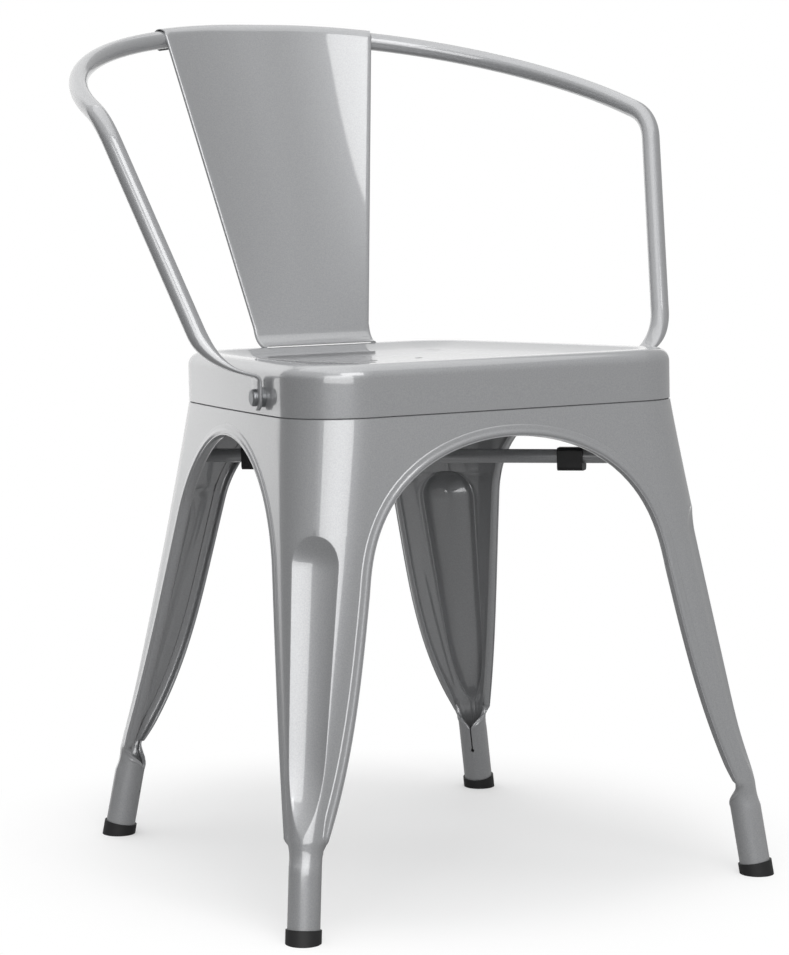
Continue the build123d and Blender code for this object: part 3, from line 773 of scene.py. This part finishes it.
def seat_profile():
    """Inset and height of each ring, from the bottom of the skirt up and over the edge of the dish."""
    seat = sizes("seat")
    top, radius = seat.skirt, seat.rim_radius
    profile = [(0.0, 0.0), (0.0, SKIRT_HEM)]
    profile += [(0.0, height) for height in np.linspace(SKIRT_START, top - radius, SKIRT_ROWS)]
    for angle in np.linspace(0.0, math.pi / 2, RIM_ROWS)[1:]:
        profile.append((radius * (1 - math.cos(angle)), top - radius + radius * math.sin(angle)))
    return profile + [(seat.dish_inset + into, top - drop) for into, drop in DISH_EDGE]


def seat_shell():
    """Outer face of the seat pan, with the dish drawn in ring by ring to a small closed middle."""
    seat = sizes("seat")
    rings = [seat_ring(inset, height) for inset, height in seat_profile()]
    inner = rings[-1]
    middle = np.array([0.0, seat.hole_middle - DISH_FORWARD, 0.0])
    start, floor = inner[0, 2], seat.skirt - seat.dish_depth
    for share in np.linspace(0.0, 1.0, DISH_ROWS)[1:]:
        ring = middle + (inner - middle) * (1.0 - share * DISH_CLOSING)
        ring[:, 2] = start + (floor - start) * math.sin(share * math.pi / 2) ** DISH_ROUNDNESS
        rings.append(ring)
    shell = Shell()
    shell.add_grid(rings, closed=True)
    shell.faces.append(tuple(range(shell.count - len(inner), shell.count)))
    return shell


def hole_nodes():
    """Geometry nodes that punch rows of round holes through a sheet."""
    tree = bpy.data.node_groups.new("Drain Holes", "GeometryNodeTree")
    inputs = {"Geometry": "Geometry", "Hole Radius": "Float", "Row Length": "Float", "Row Gap": "Float",
              "Middle": "Vector", "Tilt": "Vector", "Material": "Material"}
    for name, kind in inputs.items():
        tree.interface.new_socket(name, in_out="INPUT", socket_type="NodeSocket" + kind)
    tree.interface.new_socket("Geometry", in_out="OUTPUT", socket_type="NodeSocketGeometry")
    given = node(tree, "NodeGroupInput").outputs
    grid = node(tree, "GeometryNodeMeshGrid", {"Vertices X": HOLES_IN_ROW, "Vertices Y": 2},
                {"Size X": given["Row Length"], "Size Y": given["Row Gap"]})
    punch = node(tree, "GeometryNodeMeshCylinder", {"Vertices": HOLE_SIDES, "Depth": PUNCH_LENGTH},
                 {"Radius": given["Hole Radius"]})
    copies = node(tree, "GeometryNodeInstanceOnPoints",
                  links={"Points": grid.outputs["Mesh"], "Instance": punch.outputs["Mesh"]})
    punches = node(tree, "GeometryNodeRealizeInstances", links={"Geometry": copies.outputs["Instances"]})
    moved = node(tree, "GeometryNodeTransform",
                 links={"Geometry": punches.outputs["Geometry"], "Translation": given["Middle"],
                        "Rotation": given["Tilt"]})
    cut = node(tree, "GeometryNodeMeshBoolean", {"operation": "DIFFERENCE", "solver": "EXACT"},
               {"Mesh 1": given["Geometry"], "Mesh 2": moved.outputs["Geometry"]})
    whole = node(tree, "GeometryNodeRealizeInstances", links={"Geometry": cut.outputs["Mesh"]})
    painted = node(tree, "GeometryNodeSetMaterial",
                   links={"Geometry": whole.outputs["Geometry"], "Material": given["Material"]})
    node(tree, "NodeGroupOutput", links={"Geometry": painted.outputs["Geometry"]})
    return tree


def perforate(pan):
    """Punches the drain holes through the dish and turns the result into a plain mesh."""
    seat = sizes("seat")
    holes = pan.modifiers.new("Drain Holes", "NODES")
    holes.node_group = hole_nodes()
    given = {
        "Hole Radius": seat.hole / 2,
        "Row Length": seat.hole_pitch * (HOLES_IN_ROW - 1),
        "Row Gap": seat.hole_rows,
        "Middle": placed([0.0, seat.hole_middle, seat.skirt - seat.dish_depth]).tolist(),
        "Tilt": (-seat.tilt, 0.0, 0.0),
        "Material": pan.data.materials[0],
    }
    for socket in holes.node_group.interface.items_tree:
        if socket.name in given:
            holes[socket.identifier] = given[socket.name]
    mesh = plain_mesh(pan)
    if len(mesh.polygons) <= len(pan.data.polygons):
        raise RuntimeError("no drain holes were punched")
    pan.data = mesh
    mesh.set_sharp_from_angle(angle=math.radians(SHARP_EDGE))


class CHAIR_OT_seat(bpy.types.Operator):
    """Presses the seat pan: skirt, rounded rim, dish and drain holes"""

    bl_idname = "chair.seat"
    bl_label = "Seat Pan"

    def execute(self, context):
        pan = painted_piece("seat_pan_pressed", seat_shell(), thickness=sizes("seat").sheet)
        perforate(pan)
        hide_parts("seat_pan")
        return {"FINISHED"}


# Arm and back hoop

PATH_STEP = 0.004
TONGUE_STEP = 0.0012
FEWEST_BEND_POINTS = 6
SAME_PLACE = 1e-7
TONGUE_SHOULDER = 0.017
TONGUE_REACH = 0.010
TONGUE_BEND = 0.006
TONGUE_BELOW = 0.0105
LOW_BEND_POINTS = 26
TUBE_SIDES = 40
# Shares of the low bend at which the tube starts to widen and to flatten, and over which it does so
WIDEN_FROM, WIDEN_RUN = 0.15, 0.85
FLATTEN_FROM, FLATTEN_RUN = 0.05, 0.9
BAR_SQUARENESS = 1.6
TIP_NARROWEST = 0.02


def rounded_path(points, radii, step=PATH_STEP):
    """Points along straight runs with round corners."""
    points = [np.asarray(point, float) for point in points]
    path = [points[0]]
    for before, corner, after, radius in zip(points, points[1:], points[2:], radii):
        back, ahead = unit(before - corner), unit(after - corner)
        half = math.acos(np.dot(back, ahead)) / 2
        run = radius / math.tan(half)
        middle = corner + unit(back + ahead) * (radius / math.sin(half))
        first, last = corner + back * run - middle, corner + ahead * run - middle
        turn = math.pi - 2 * half
        count = max(FEWEST_BEND_POINTS, int(turn * radius / step) + 1)
        for share in np.linspace(0.0, 1.0, count):
            blend = first * math.sin((1 - share) * turn) + last * math.sin(share * turn)
            path.append(middle + blend / math.sin(turn))
    path.append(points[-1])
    dense = [path[0]]
    for start, stop in zip(path, path[1:]):
        length = np.linalg.norm(stop - start)
        if length < SAME_PLACE:
            continue
        for share in np.linspace(0.0, 1.0, max(2, int(length / step) + 1))[1:]:
            dense.append(start + (stop - start) * share)
    return np.array(dense)


def bolt_frame():
    """Origin on the skirt at the right-hand bolt, with directions along the skirt and outwards."""
    hoop = sizes("hoop")
    seam = Wing("front", "along", np.zeros(1))
    distance = np.array([hoop.bolt_y / seam.along[0, 1]])
    slope = 4.0 * seam.bow[0] / seam.length[0] * (1.0 - 2.0 * distance[0] / seam.length[0])
    heading = unit(seam.along[0] + seam.outward[0] * slope)
    outwards = np.array([heading[1], -heading[0], 0.0])
    origin = seam.point(distance)[0] + [0.0, 0.0, hoop.bolt_height]
    return origin, heading, outwards


def hoop_corners():
    """Back and front corners of the right-hand arm, and its low bend."""
    hoop = sizes("hoop")
    back = np.array([hoop.back_half, hoop.back_y, hoop.back_height])
    front = np.array([hoop.arm_half, hoop.arm_y, hoop.arm_height])
    low = np.array([hoop.low_half, hoop.low_y, hoop.low_height])
    return back, front, low


def tangent_arc(start, stop, heading, count):
    """Arc between two points that leaves the first along a heading."""
    chord = stop - start
    length = np.linalg.norm(chord)
    angle = math.acos(np.clip(np.dot(unit(chord), heading), -1.0, 1.0))
    side = unit(chord - heading * np.dot(chord, heading))
    radius = length / 2 / math.sin(angle)
    turns = np.linspace(0.0, 2 * angle, count)[:, None]
    return start + heading * radius * np.sin(turns) + side * radius * (1 - np.cos(turns))


def hoop_path():
    """Right-hand half of the hoop from the middle of the back to the tip of its tongue."""
    hoop = sizes("hoop")
    back, front, low = hoop_corners()
    origin, heading, outwards = bolt_frame()
    stand = hoop.spacer + hoop.tongue_thick / 2
    up = np.array([0.0, 0.0, 1.0])
    shoulder = origin + outwards * stand + up * TONGUE_SHOULDER
    run = low - shoulder
    run = unit(run - heading * np.dot(run, heading))
    flat_end = shoulder + run * TONGUE_REACH
    length = np.linalg.norm(flat_end - low)
    bend_start = low + unit(front - low) * length
    middle = np.array([0.0, back[1], back[2]])
    arm = rounded_path([middle, back, front, bend_start], [hoop.back_radius, hoop.arm_radius])
    bend = tangent_arc(bend_start, flat_end, unit(low - bend_start), LOW_BEND_POINTS)
    tip = shoulder - up * (TONGUE_SHOULDER + TONGUE_BELOW)
    tongue = rounded_path([flat_end, shoulder, tip], [TONGUE_BEND], step=TONGUE_STEP)
    path = np.concatenate([arm, bend[1:], tongue[1:]])
    return path, len(arm), len(arm) + len(bend) - 1, heading


def super_ellipse(half_wide, half_thick, power):
    """Section that goes from a circle to a flat bar with round edges as the power grows."""
    angle = np.linspace(0.0, 2 * math.pi, TUBE_SIDES, endpoint=False)
    cos, sin = np.cos(angle), np.sin(angle)
    x = half_wide * np.sign(cos) * np.abs(cos) ** (2 / power)
    y = half_thick * np.sign(sin) * np.abs(sin) ** (2 / power)
    return x, y


def hoop_rings():
    """Rings of the right-hand half of the hoop: a round tube that flattens into its tongue."""
    hoop = sizes("hoop")
    path, bend_from, bend_to, heading = hoop_path()
    tangent = unit(np.gradient(path, axis=0))
    distance = np.concatenate([[0.0], np.cumsum(np.linalg.norm(np.diff(path, axis=0), axis=-1))])
    bend_start, bend_stop = distance[bend_from - 1], distance[bend_to - 1]
    round_end = hoop.tongue_width / 2
    wide = unit(heading - tangent[-1] * np.dot(heading, tangent[-1]))
    rings = []
    for index in range(len(path) - 1, -1, -1):
        wide = unit(wide - tangent[index] * np.dot(wide, tangent[index]))
        thin = np.cross(tangent[index], wide)
        share = np.clip((distance[index] - bend_start) / (bend_stop - bend_start), 0.0, 1.0)
        flat_wide = smooth_step((share - WIDEN_FROM) / WIDEN_RUN)
        flat_thin = smooth_step((share - FLATTEN_FROM) / FLATTEN_RUN)
        half_wide = hoop.tube / 2 + (hoop.tongue_width - hoop.tube) / 2 * flat_wide
        half_thick = hoop.tube / 2 + (hoop.tongue_thick - hoop.tube) / 2 * flat_thin
        left = distance[-1] - distance[index]
        if left < round_end:
            half_wide *= math.sqrt(max(1.0 - (1.0 - left / round_end) ** 2, TIP_NARROWEST))
        x, y = super_ellipse(half_wide, half_thick, 2.0 + BAR_SQUARENESS * flat_thin)
        rings.append(path[index] + wide * x[:, None] + thin * y[:, None])
    return np.array(rings[::-1])


class CHAIR_OT_hoop(bpy.types.Operator):
    """Bends the tube that makes the back and both arms, with its flattened ends"""

    bl_idname = "chair.hoop"
    bl_label = "Arm Hoop"

    def execute(self, context):
        half = Shell()
        half.add_grid(hoop_rings(), closed=True)
        half.faces.append(tuple(range(half.count - TUBE_SIDES, half.count)))
        hoop = painted_piece("arm_hoop_tube", half.joined(half.mirrored()), sharp=SHARP_TUBE_EDGE)
        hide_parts("arm_hoop")
        return {"FINISHED"}


# Back splat

SPLAT_COLUMNS = 49
HEM_COLUMNS = 8
SPLAT_ROWS = 59
SLEEVE_ROWS = 49
HEM_FADE_ROWS = 6
HEEL_RISE = 0.016
HEEL_STEP = 0.0008


def hoop_back(x):
    """Centre of the hoop's back at sideways places x, with the directions to its inside, up and forward."""
    hoop = sizes("hoop")
    back, front, _ = hoop_corners()
    arm = front - back
    backwards = unit(np.array([0.0, -arm[1], -arm[2]]))
    up = np.cross(SIDEWAYS, backwards)
    half = math.acos(np.dot(-SIDEWAYS, unit(arm))) / 2
    straight = hoop.back_half - hoop.back_radius / math.tan(half)
    turn = np.arcsin(np.clip((np.abs(x) - straight) / hoop.back_radius, 0.0, 1.0))
    setback = hoop.back_radius * (np.cos(turn) - 1.0)
    origin = np.array([0.0, back[1], back[2]])
    centre = origin + np.outer(x, SIDEWAYS) + np.outer(setback, backwards)
    inside = np.outer(-np.sign(x) * np.sin(turn), SIDEWAYS) - np.outer(np.cos(turn), backwards)
    return centre, inside, up, -backwards


def sleeve_radius():
    return sizes("hoop").tube / 2 + FIT_GAP + sizes("splat").sheet


def splat_lean():
    """Angle of the splat above the level, from its heel to where it meets the sleeve."""
    hoop, splat, seat = sizes("hoop"), sizes("splat"), sizes("seat")
    reach = hoop.back_y - splat.foot_y
    rise = hoop.back_height - seat.skirt - splat.sheet / 2
    return math.atan2(rise, reach) + math.asin(sleeve_radius() / math.hypot(reach, rise))


def splat_columns():
    """Shares across the splat from edge to edge, and how far each is rolled back at its hem."""
    flat = np.linspace(-1.0, 1.0, SPLAT_COLUMNS)
    roll = np.linspace(0.0, math.pi, HEM_COLUMNS + 1)[1:]
    shares = np.concatenate([np.full(HEM_COLUMNS, -1.0), flat, np.full(HEM_COLUMNS, 1.0)])
    rolls = np.concatenate([roll[::-1], np.zeros(SPLAT_COLUMNS), roll])
    return shares, rolls


def splat_rows():
    """Grid of points of the splat's front face, from the tip of its foot to the end of its sleeve."""
    splat = sizes("splat")
    shares, rolls = splat_columns()
    angle = splat_lean()
    up = np.array([0.0, math.cos(angle), math.sin(angle)])
    front = np.array([0.0, -math.sin(angle), math.cos(angle)])
    centre, inside, sky, forward = hoop_back(shares * splat.top_half)
    tilt = math.atan2(front @ sky, front @ forward)
    radius = sleeve_radius()
    heel = np.array([0.0, splat.foot_y, sizes("seat").skirt + splat.sheet])
    tip = heel - [0.0, splat.foot_length, 0.0]
    foot = rounded_path([tip, heel, heel + up * HEEL_RISE], [splat.bend], step=HEEL_STEP)
    halves = splat.bottom_half - splat.foot_taper * np.linspace(1.0, 0.0, len(foot)) ** 2
    rows, normals = [], []
    for point, along, half in zip(foot, unit(np.gradient(foot, axis=0)), halves):
        rows.append(np.outer(shares * half, SIDEWAYS) + point)
        normals.append(np.tile(np.cross(along, -SIDEWAYS), (len(shares), 1)))
    bottom = rows[-1]
    top = centre + radius * (math.cos(tilt) * inside + math.sin(tilt) * sky)
    for share in np.linspace(0.0, 1.0, SPLAT_ROWS + 1)[1:]:
        rows.append(bottom + (top - bottom) * share)
        normals.append(np.tile(front, (len(shares), 1)))
    for turn in np.linspace(0.0, splat.wrap, SLEEVE_ROWS + 1)[1:]:
        radial = math.cos(tilt + turn) * inside + math.sin(tilt + turn) * sky
        rows.append(centre + radius * radial)
        normals.append(radial)
    rolled = np.sign(shares)[:, None] * SIDEWAYS * (splat.hem * np.sin(rolls))[:, None]
    back = (splat.hem * (1.0 - np.cos(rolls)))[:, None]
    fade = np.concatenate([np.ones(len(foot) + SPLAT_ROWS), np.linspace(1.0, 0.0, HEM_FADE_ROWS),
                           np.zeros(SLEEVE_ROWS - HEM_FADE_ROWS)])
    return np.array(rows) + fade[:, None, None] * (rolled[None] - np.array(normals) * back[None])


class CHAIR_OT_splat(bpy.types.Operator):
    """Folds the back splat: foot on the seat, tapered back with rolled edges, sleeve over the hoop"""

    bl_idname = "chair.splat"
    bl_label = "Back Splat"

    def execute(self, context):
        shell = Shell()
        shell.add_grid(splat_rows())
        piece = painted_piece("back_splat_sheet", shell, thickness=sizes("splat").sheet, merge=CLOSE_DOUBLES)
        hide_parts("back_splat")
        return {"FINISHED"}


# Braces, clips, foot caps and fasteners keep their solids and get their finishes


def finish_solids(names, material):
    """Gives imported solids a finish."""
    for name in names:
        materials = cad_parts[name].data.materials
        materials.clear()
        materials.append(material)


class CHAIR_OT_braces(bpy.types.Operator):
    """Paints the crossed bars under the seat"""

    bl_idname = "chair.braces"
    bl_label = "Braces"

    def execute(self, context):
        finish_solids(["brace_through_bar", "brace_front_half_bar", "brace_rear_half_bar"], painted_steel())
        return {"FINISHED"}


class CHAIR_OT_fittings(bpy.types.Operator):
    """Finishes the rubber foot caps, the stacking clips and the arm bolts"""

    bl_idname = "chair.fittings"
    bl_label = "Fittings"

    def execute(self, context):
        corners = [f"{end}_{side}" for end in ENDS for side in HANDS]
        finish_solids([f"foot_cap_{corner}" for corner in corners], black_rubber())
        finish_solids([f"stacking_clip_{corner}" for corner in corners], black_nylon())
        for side in HANDS:
            finish_solids([f"arm_bolt_{side}", f"arm_spacer_{side}", f"arm_nut_{side}"], zinc_plate())
        return {"FINISHED"}


# Materials

WHITE = (1.0, 1.0, 1.0, 1.0)
EASED = {"interpolation_type": "SMOOTHSTEP"}
FLAKE_RANGE = (0.35, 0.65)


def linear(hex_colour):
    """sRGB hex as linear RGBA."""
    parts = [int(hex_colour[index:index + 2], 16) / 255 for index in (1, 3, 5)]
    return [c / 12.92 if c <= 0.04045 else ((c + 0.055) / 1.055) ** 2.4 for c in parts] + [1.0]


def node(tree, kind, settings=None, links=None):
    """Adds a node with its settings, and links its inputs, by name or number, to other nodes' outputs."""
    added = tree.nodes.new(kind)
    for key, value in (settings or {}).items():
        if isinstance(key, int) or key in added.inputs:
            added.inputs[key].default_value = value
        else:
            setattr(added, key, value)
    for key, source in (links or {}).items():
        tree.links.new(source, added.inputs[key])
    return added


def new_material(name):
    """Empty material and its tree."""
    material = bpy.data.materials.new(name)
    material.use_nodes = True
    material.node_tree.nodes.clear()
    return material, material.node_tree


def per_metre(millimetres):
    """Noise scale on object coordinates in metres for a feature of that size."""
    return 1000.0 / millimetres


def painted_steel():
    """Steel with a silver powder coat, sprayed and baked: an even grey with a fine sparkle of
    lighter and darker flakes, a skin that ripples a little like orange peel, and a clear gloss
    that mirrors the studio in soft-edged bands."""
    if "Silver powder coat" in bpy.data.materials:
        return bpy.data.materials["Silver powder coat"]
    finish = sizes("finishes")
    material, tree = new_material("Silver powder coat")
    place = node(tree, "ShaderNodeTexCoord")
    # Real flakes are far finer; they are drawn about 1 mm wide so that they show
    flakes = node(tree, "ShaderNodeTexNoise", {"Scale": per_metre(1.1), "Detail": 3.0, "Roughness": 0.7},
                  {"Vector": place.outputs["Object"]})
    tone = node(tree, "ShaderNodeValToRGB", links={"Fac": flakes.outputs["Fac"]})
    dark, light = tone.color_ramp.elements
    dark.position, light.position = FLAKE_RANGE
    dark.color, light.color = linear(finish.paint_shade), linear(finish.paint)
    peel = node(tree, "ShaderNodeTexNoise", {"Scale": per_metre(2.2), "Detail": 1.0},
                {"Vector": place.outputs["Object"]})
    ripple = node(tree, "ShaderNodeBump", {"Strength": 0.06, "Distance": 0.0004},
                  {"Height": peel.outputs["Fac"]})
    shader = node(tree, "ShaderNodeBsdfPrincipled",
                  {"Metallic": 0.45, "Roughness": 0.42, "Coat Weight": 1.0, "Coat Roughness": 0.06,
                   "Coat IOR": 1.85},
                  {"Base Color": tone.outputs["Color"], "Normal": ripple.outputs["Normal"]})
    node(tree, "ShaderNodeOutputMaterial", links={"Surface": shader.outputs["BSDF"]})
    return material


GRAIN_CONTRAST = 0.25
GLOSS_CONTRAST = 0.06


def grained_material(name, hex_colour, metallic, roughness, grain_mm, bump):
    """A finish with a fine grain in its colour, its gloss and its surface. The grain is drawn
    about 1 mm wide, which is coarser than the real one, so that it shows."""
    if name in bpy.data.materials:
        return bpy.data.materials[name]
    material, tree = new_material(name)
    place = node(tree, "ShaderNodeTexCoord")
    grain = node(tree, "ShaderNodeTexNoise", {"Scale": per_metre(grain_mm), "Detail": 4.0},
                 {"Vector": place.outputs["Object"]}).outputs["Fac"]
    tone = node(tree, "ShaderNodeValToRGB", links={"Fac": grain})
    tint = linear(hex_colour)
    for element, share in zip(tone.color_ramp.elements, (1.0 - GRAIN_CONTRAST, 1.0 + GRAIN_CONTRAST)):
        element.color = [part * share for part in tint[:3]] + [1.0]
    gloss = node(tree, "ShaderNodeMapRange",
                 {"To Min": roughness - GLOSS_CONTRAST, "To Max": roughness + GLOSS_CONTRAST},
                 {"Value": grain})
    relief = node(tree, "ShaderNodeBump", {"Strength": bump, "Distance": 0.0003}, {"Height": grain})
    shader = node(tree, "ShaderNodeBsdfPrincipled", {"Metallic": metallic},
                  {"Base Color": tone.outputs["Color"], "Roughness": gloss.outputs["Result"],
                   "Normal": relief.outputs["Normal"]})
    node(tree, "ShaderNodeOutputMaterial", links={"Surface": shader.outputs["BSDF"]})
    return material


def black_rubber():
    """Moulded rubber: deep matt black with a faint bloom."""
    return grained_material("Black rubber", sizes("finishes").rubber,
                            metallic=0.0, roughness=0.55, grain_mm=0.9, bump=0.12)


def black_nylon():
    """Moulded nylon: black with a low satin sheen."""
    return grained_material("Black nylon", sizes("finishes").nylon,
                            metallic=0.0, roughness=0.42, grain_mm=1.4, bump=0.08)


def zinc_plate():
    """Zinc-plated steel: grey metal, slightly mottled, with soft highlights."""
    return grained_material("Zinc-plated steel", sizes("finishes").zinc,
                            metallic=0.9, roughness=0.36, grain_mm=0.8, bump=0.1)


def studio_floor():
    """Pale paper: it takes the chair's soft shadow nearby and runs out to plain white further off.
    Reflections and bounced light see a darker grey paper near the chair: painted shade that darkens
    the chair's undersides and the insides of its legs. Beyond it they see the room."""
    finish = sizes("finishes")
    material, tree = new_material("White paper floor")
    place = node(tree, "ShaderNodeTexCoord")
    path = node(tree, "ShaderNodeLightPath")
    far = node(tree, "ShaderNodeVectorMath", {"operation": "LENGTH"}, {0: place.outputs["Object"]})
    white_out = node(tree, "ShaderNodeMapRange",
                     {**EASED, "From Min": 0.22, "From Max": 0.42, "To Min": 0.25},
                     {"Value": far.outputs["Value"]})
    run_out = node(tree, "ShaderNodeMapRange", {**EASED, "From Min": 0.35, "From Max": 0.8},
                   {"Value": far.outputs["Value"]})
    paper = node(tree, "ShaderNodeBsdfDiffuse", {"Color": linear(finish.floor)})
    # Painted shade: darker paper for bounced rays near the chair, which darkens its undersides and the
    # insides of its legs
    painted_shade_paper = node(tree, "ShaderNodeBsdfDiffuse", {"Color": linear(finish.painted_floor_shade)})
    white = node(tree, "ShaderNodeEmission", {"Color": WHITE})
    clear = node(tree, "ShaderNodeBsdfTransparent")
    seen = node(tree, "ShaderNodeMixShader",
                links={0: white_out.outputs["Result"], 1: paper.outputs["BSDF"],
                       2: white.outputs["Emission"]})
    bounced = node(tree, "ShaderNodeMixShader",
                   links={0: run_out.outputs["Result"], 1: painted_shade_paper.outputs["BSDF"], 2: clear.outputs["BSDF"]})
    both = node(tree, "ShaderNodeMixShader",
                links={0: path.outputs["Is Camera Ray"], 1: bounced.outputs["Shader"],
                       2: seen.outputs["Shader"]})
    node(tree, "ShaderNodeOutputMaterial", links={"Surface": both.outputs["Shader"]})
    return material


# Studio

# Direction of the white backdrop, how much it is stretched upwards, and its gain on the left
BACKDROP = (0.25, 0.968, 0.0)
BACKDROP_FLATTENED = 0.45
BACKDROP_LEFT = 1.42
BACKDROP_EDGE = {"From Min": 0.80, "From Max": 0.87}
BACKDROP_SIDES = {"From Min": 0.3, "From Max": -0.2}
# Share of the room's brightness that is left on its left, and where it changes
LEFT_SHARE = 0.5
ROOM_LEFT, ROOM_RIGHT = -0.3, 0.45
CEILING_EDGE = {"From Min": 0.12, "From Max": 0.5}
# Soft lights by their brightness setting: name, place, target, width and height
LIGHTS = {
    "wall": ("Camera wall", (-1.71, -2.78, 1.3), (-0.19, -0.2, 1.3), 3.0, 1.8),
    "softbox": ("High softbox", (-0.25, -2.4, 2.35), (0.0, 0.0, 0.5), 1.9, 1.3),
    "top": ("Top softbox", (0.0, 0.1, 2.8), (0.0, 0.0, 0.0), 3.4, 3.4),
}
FLOOR_HALF = 14.0
SENSOR_MM = 36.0


class CHAIR_OT_stage(bpy.types.Operator):
    """Sets up the pale floor, the soft lights and the camera"""

    bl_idname = "chair.stage"
    bl_label = "Studio"

    def execute(self, context):
        stage, scene = sizes("stage"), context.scene
        scene.view_settings.view_transform = "Standard"
        self.floor(scene)
        self.world(scene, stage)
        for setting, (name, place, target, wide, tall) in LIGHTS.items():
            self.light(scene, name, place, target, wide, tall, getattr(stage, setting))
        self.camera(scene, stage)
        return {"FINISHED"}

    def floor(self, scene):
        mesh = bpy.data.meshes.new("floor")
        corners = [(x * FLOOR_HALF, y * FLOOR_HALF, 0) for x, y in ((-1, -1), (1, -1), (1, 1), (-1, 1))]
        mesh.from_pydata(corners, [], [(0, 1, 2, 3)])
        mesh.materials.append(studio_floor())
        floor = bpy.data.objects.new("floor", mesh)
        scene.collection.objects.link(floor)

    def world(self, scene, stage):
        """White backdrop behind the chair and a grey room round the rest; the camera sees white."""
        world = bpy.data.worlds.new("Studio")
        scene.world = world
        world.use_nodes = True
        tree = world.node_tree
        tree.nodes.clear()
        path = node(tree, "ShaderNodeLightPath")
        place = node(tree, "ShaderNodeTexCoord").outputs["Generated"]
        sides = node(tree, "ShaderNodeSeparateXYZ", links={"Vector": place}).outputs
        room = node(tree, "ShaderNodeMapRange",
                    {**EASED, "From Min": ROOM_LEFT, "From Max": ROOM_RIGHT,
                     "To Min": stage.room * LEFT_SHARE, "To Max": stage.room}, {"Value": sides["X"]})
        ceiling = node(tree, "ShaderNodeMapRange", {**EASED, **CEILING_EDGE, "To Max": stage.ceiling},
                       {"Value": sides["Z"]})
        left = node(tree, "ShaderNodeMapRange", {**EASED, "From Min": ROOM_RIGHT, "From Max": ROOM_LEFT},
                    {"Value": sides["X"]})
        lit = node(tree, "ShaderNodeMath", {"operation": "MULTIPLY_ADD"},
                   {0: ceiling.outputs["Result"], 1: left.outputs["Result"], 2: room.outputs["Result"]})
        lower = node(tree, "ShaderNodeVectorMath",
                     {"operation": "MULTIPLY", 1: (1.0, 1.0, BACKDROP_FLATTENED)}, {0: place})
        towards = node(tree, "ShaderNodeVectorMath", {"operation": "NORMALIZE"}, {0: lower.outputs["Vector"]})
        behind = node(tree, "ShaderNodeVectorMath", {"operation": "DOT_PRODUCT", 1: BACKDROP},
                      {0: towards.outputs["Vector"]})
        sheet = node(tree, "ShaderNodeMapRange", {**EASED, **BACKDROP_EDGE},
                     {"Value": behind.outputs["Value"]})
        gain = node(tree, "ShaderNodeMapRange",
                    {**EASED, **BACKDROP_SIDES, "To Min": 1.0, "To Max": BACKDROP_LEFT},
                    {"Value": sides["X"]})
        backdrop = node(tree, "ShaderNodeMath", {"operation": "MULTIPLY"},
                        {0: sheet.outputs["Result"], 1: gain.outputs["Result"]})
        bright = node(tree, "ShaderNodeMath", {"operation": "MAXIMUM"},
                      {0: lit.outputs["Value"], 1: backdrop.outputs["Value"]})
        around = node(tree, "ShaderNodeBackground", links={"Color": bright.outputs["Value"]})
        white = node(tree, "ShaderNodeBackground", {"Color": WHITE})
        both = node(tree, "ShaderNodeMixShader",
                    links={0: path.outputs["Is Camera Ray"], 1: around.outputs["Background"],
                           2: white.outputs["Background"]})
        node(tree, "ShaderNodeOutputWorld", links={"Surface": both.outputs["Shader"]})

    def light(self, scene, name, place, target, wide, tall, radiance):
        lamp = bpy.data.lights.new(name, "AREA")
        lamp.shape = "RECTANGLE"
        lamp.size, lamp.size_y = wide, tall
        lamp.energy = radiance * math.pi * wide * tall
        holder = bpy.data.objects.new(name, lamp)
        holder.location = place
        holder.rotation_euler = (Vector(target) - Vector(place)).to_track_quat("-Z", "Y").to_euler()
        holder.visible_camera = False
        scene.collection.objects.link(holder)

    def camera(self, scene, stage):
        data = bpy.data.cameras.new("Camera")
        data.lens = stage.lens
        data.sensor_width = SENSOR_MM
        holder = bpy.data.objects.new("Camera", data)
        holder.location = (stage.camera_x, stage.camera_y + SEAT_LOW.y, stage.camera_z)
        holder.rotation_euler = (math.pi / 2 - stage.camera_pitch, 0.0, -stage.camera_yaw)
        scene.collection.objects.link(holder)
        scene.camera = holder


class CHAIR_PT_panel(bpy.types.Panel):
    """Lists the steps that build the chair"""

    bl_idname = "CHAIR_PT_panel"
    bl_label = "Pressed Steel Armchair"
    bl_space_type = "VIEW_3D"
    bl_region_type = "UI"
    bl_category = "Chair"

    def draw(self, context):
        for operator in OPERATORS:
            self.layout.operator(operator.bl_idname)
        for name, group in GROUPS.items():
            box = self.layout.box()
            box.label(text=name.title())
            for key in group.__annotations__:
                box.prop(sizes(name), key)


GROUPS = {
    "seat": SeatSizes, "legs": LegSizes, "hoop": HoopSizes, "splat": SplatSizes,
    "finishes": Finishes, "stage": StageSettings,
}
OPERATORS = [CHAIR_OT_seat, CHAIR_OT_legs, CHAIR_OT_hoop, CHAIR_OT_splat, CHAIR_OT_braces, CHAIR_OT_fittings,
             CHAIR_OT_stage]


def register():
    for item in [*GROUPS.values(), *OPERATORS, CHAIR_PT_panel]:
        bpy.utils.register_class(item)
    for name, group in GROUPS.items():
        setattr(bpy.types.Scene, "chair_" + name, PointerProperty(type=group))


def unregister():
    for name in GROUPS:
        delattr(bpy.types.Scene, "chair_" + name)
    for item in reversed([*GROUPS.values(), *OPERATORS, CHAIR_PT_panel]):
        bpy.utils.unregister_class(item)


def main():
    register()
    bpy.ops.chair.seat()
    bpy.ops.chair.legs()
    bpy.ops.chair.hoop()
    bpy.ops.chair.splat()
    bpy.ops.chair.braces()
    bpy.ops.chair.fittings()
    bpy.ops.chair.stage()


if __name__ == "__main__":
    main()
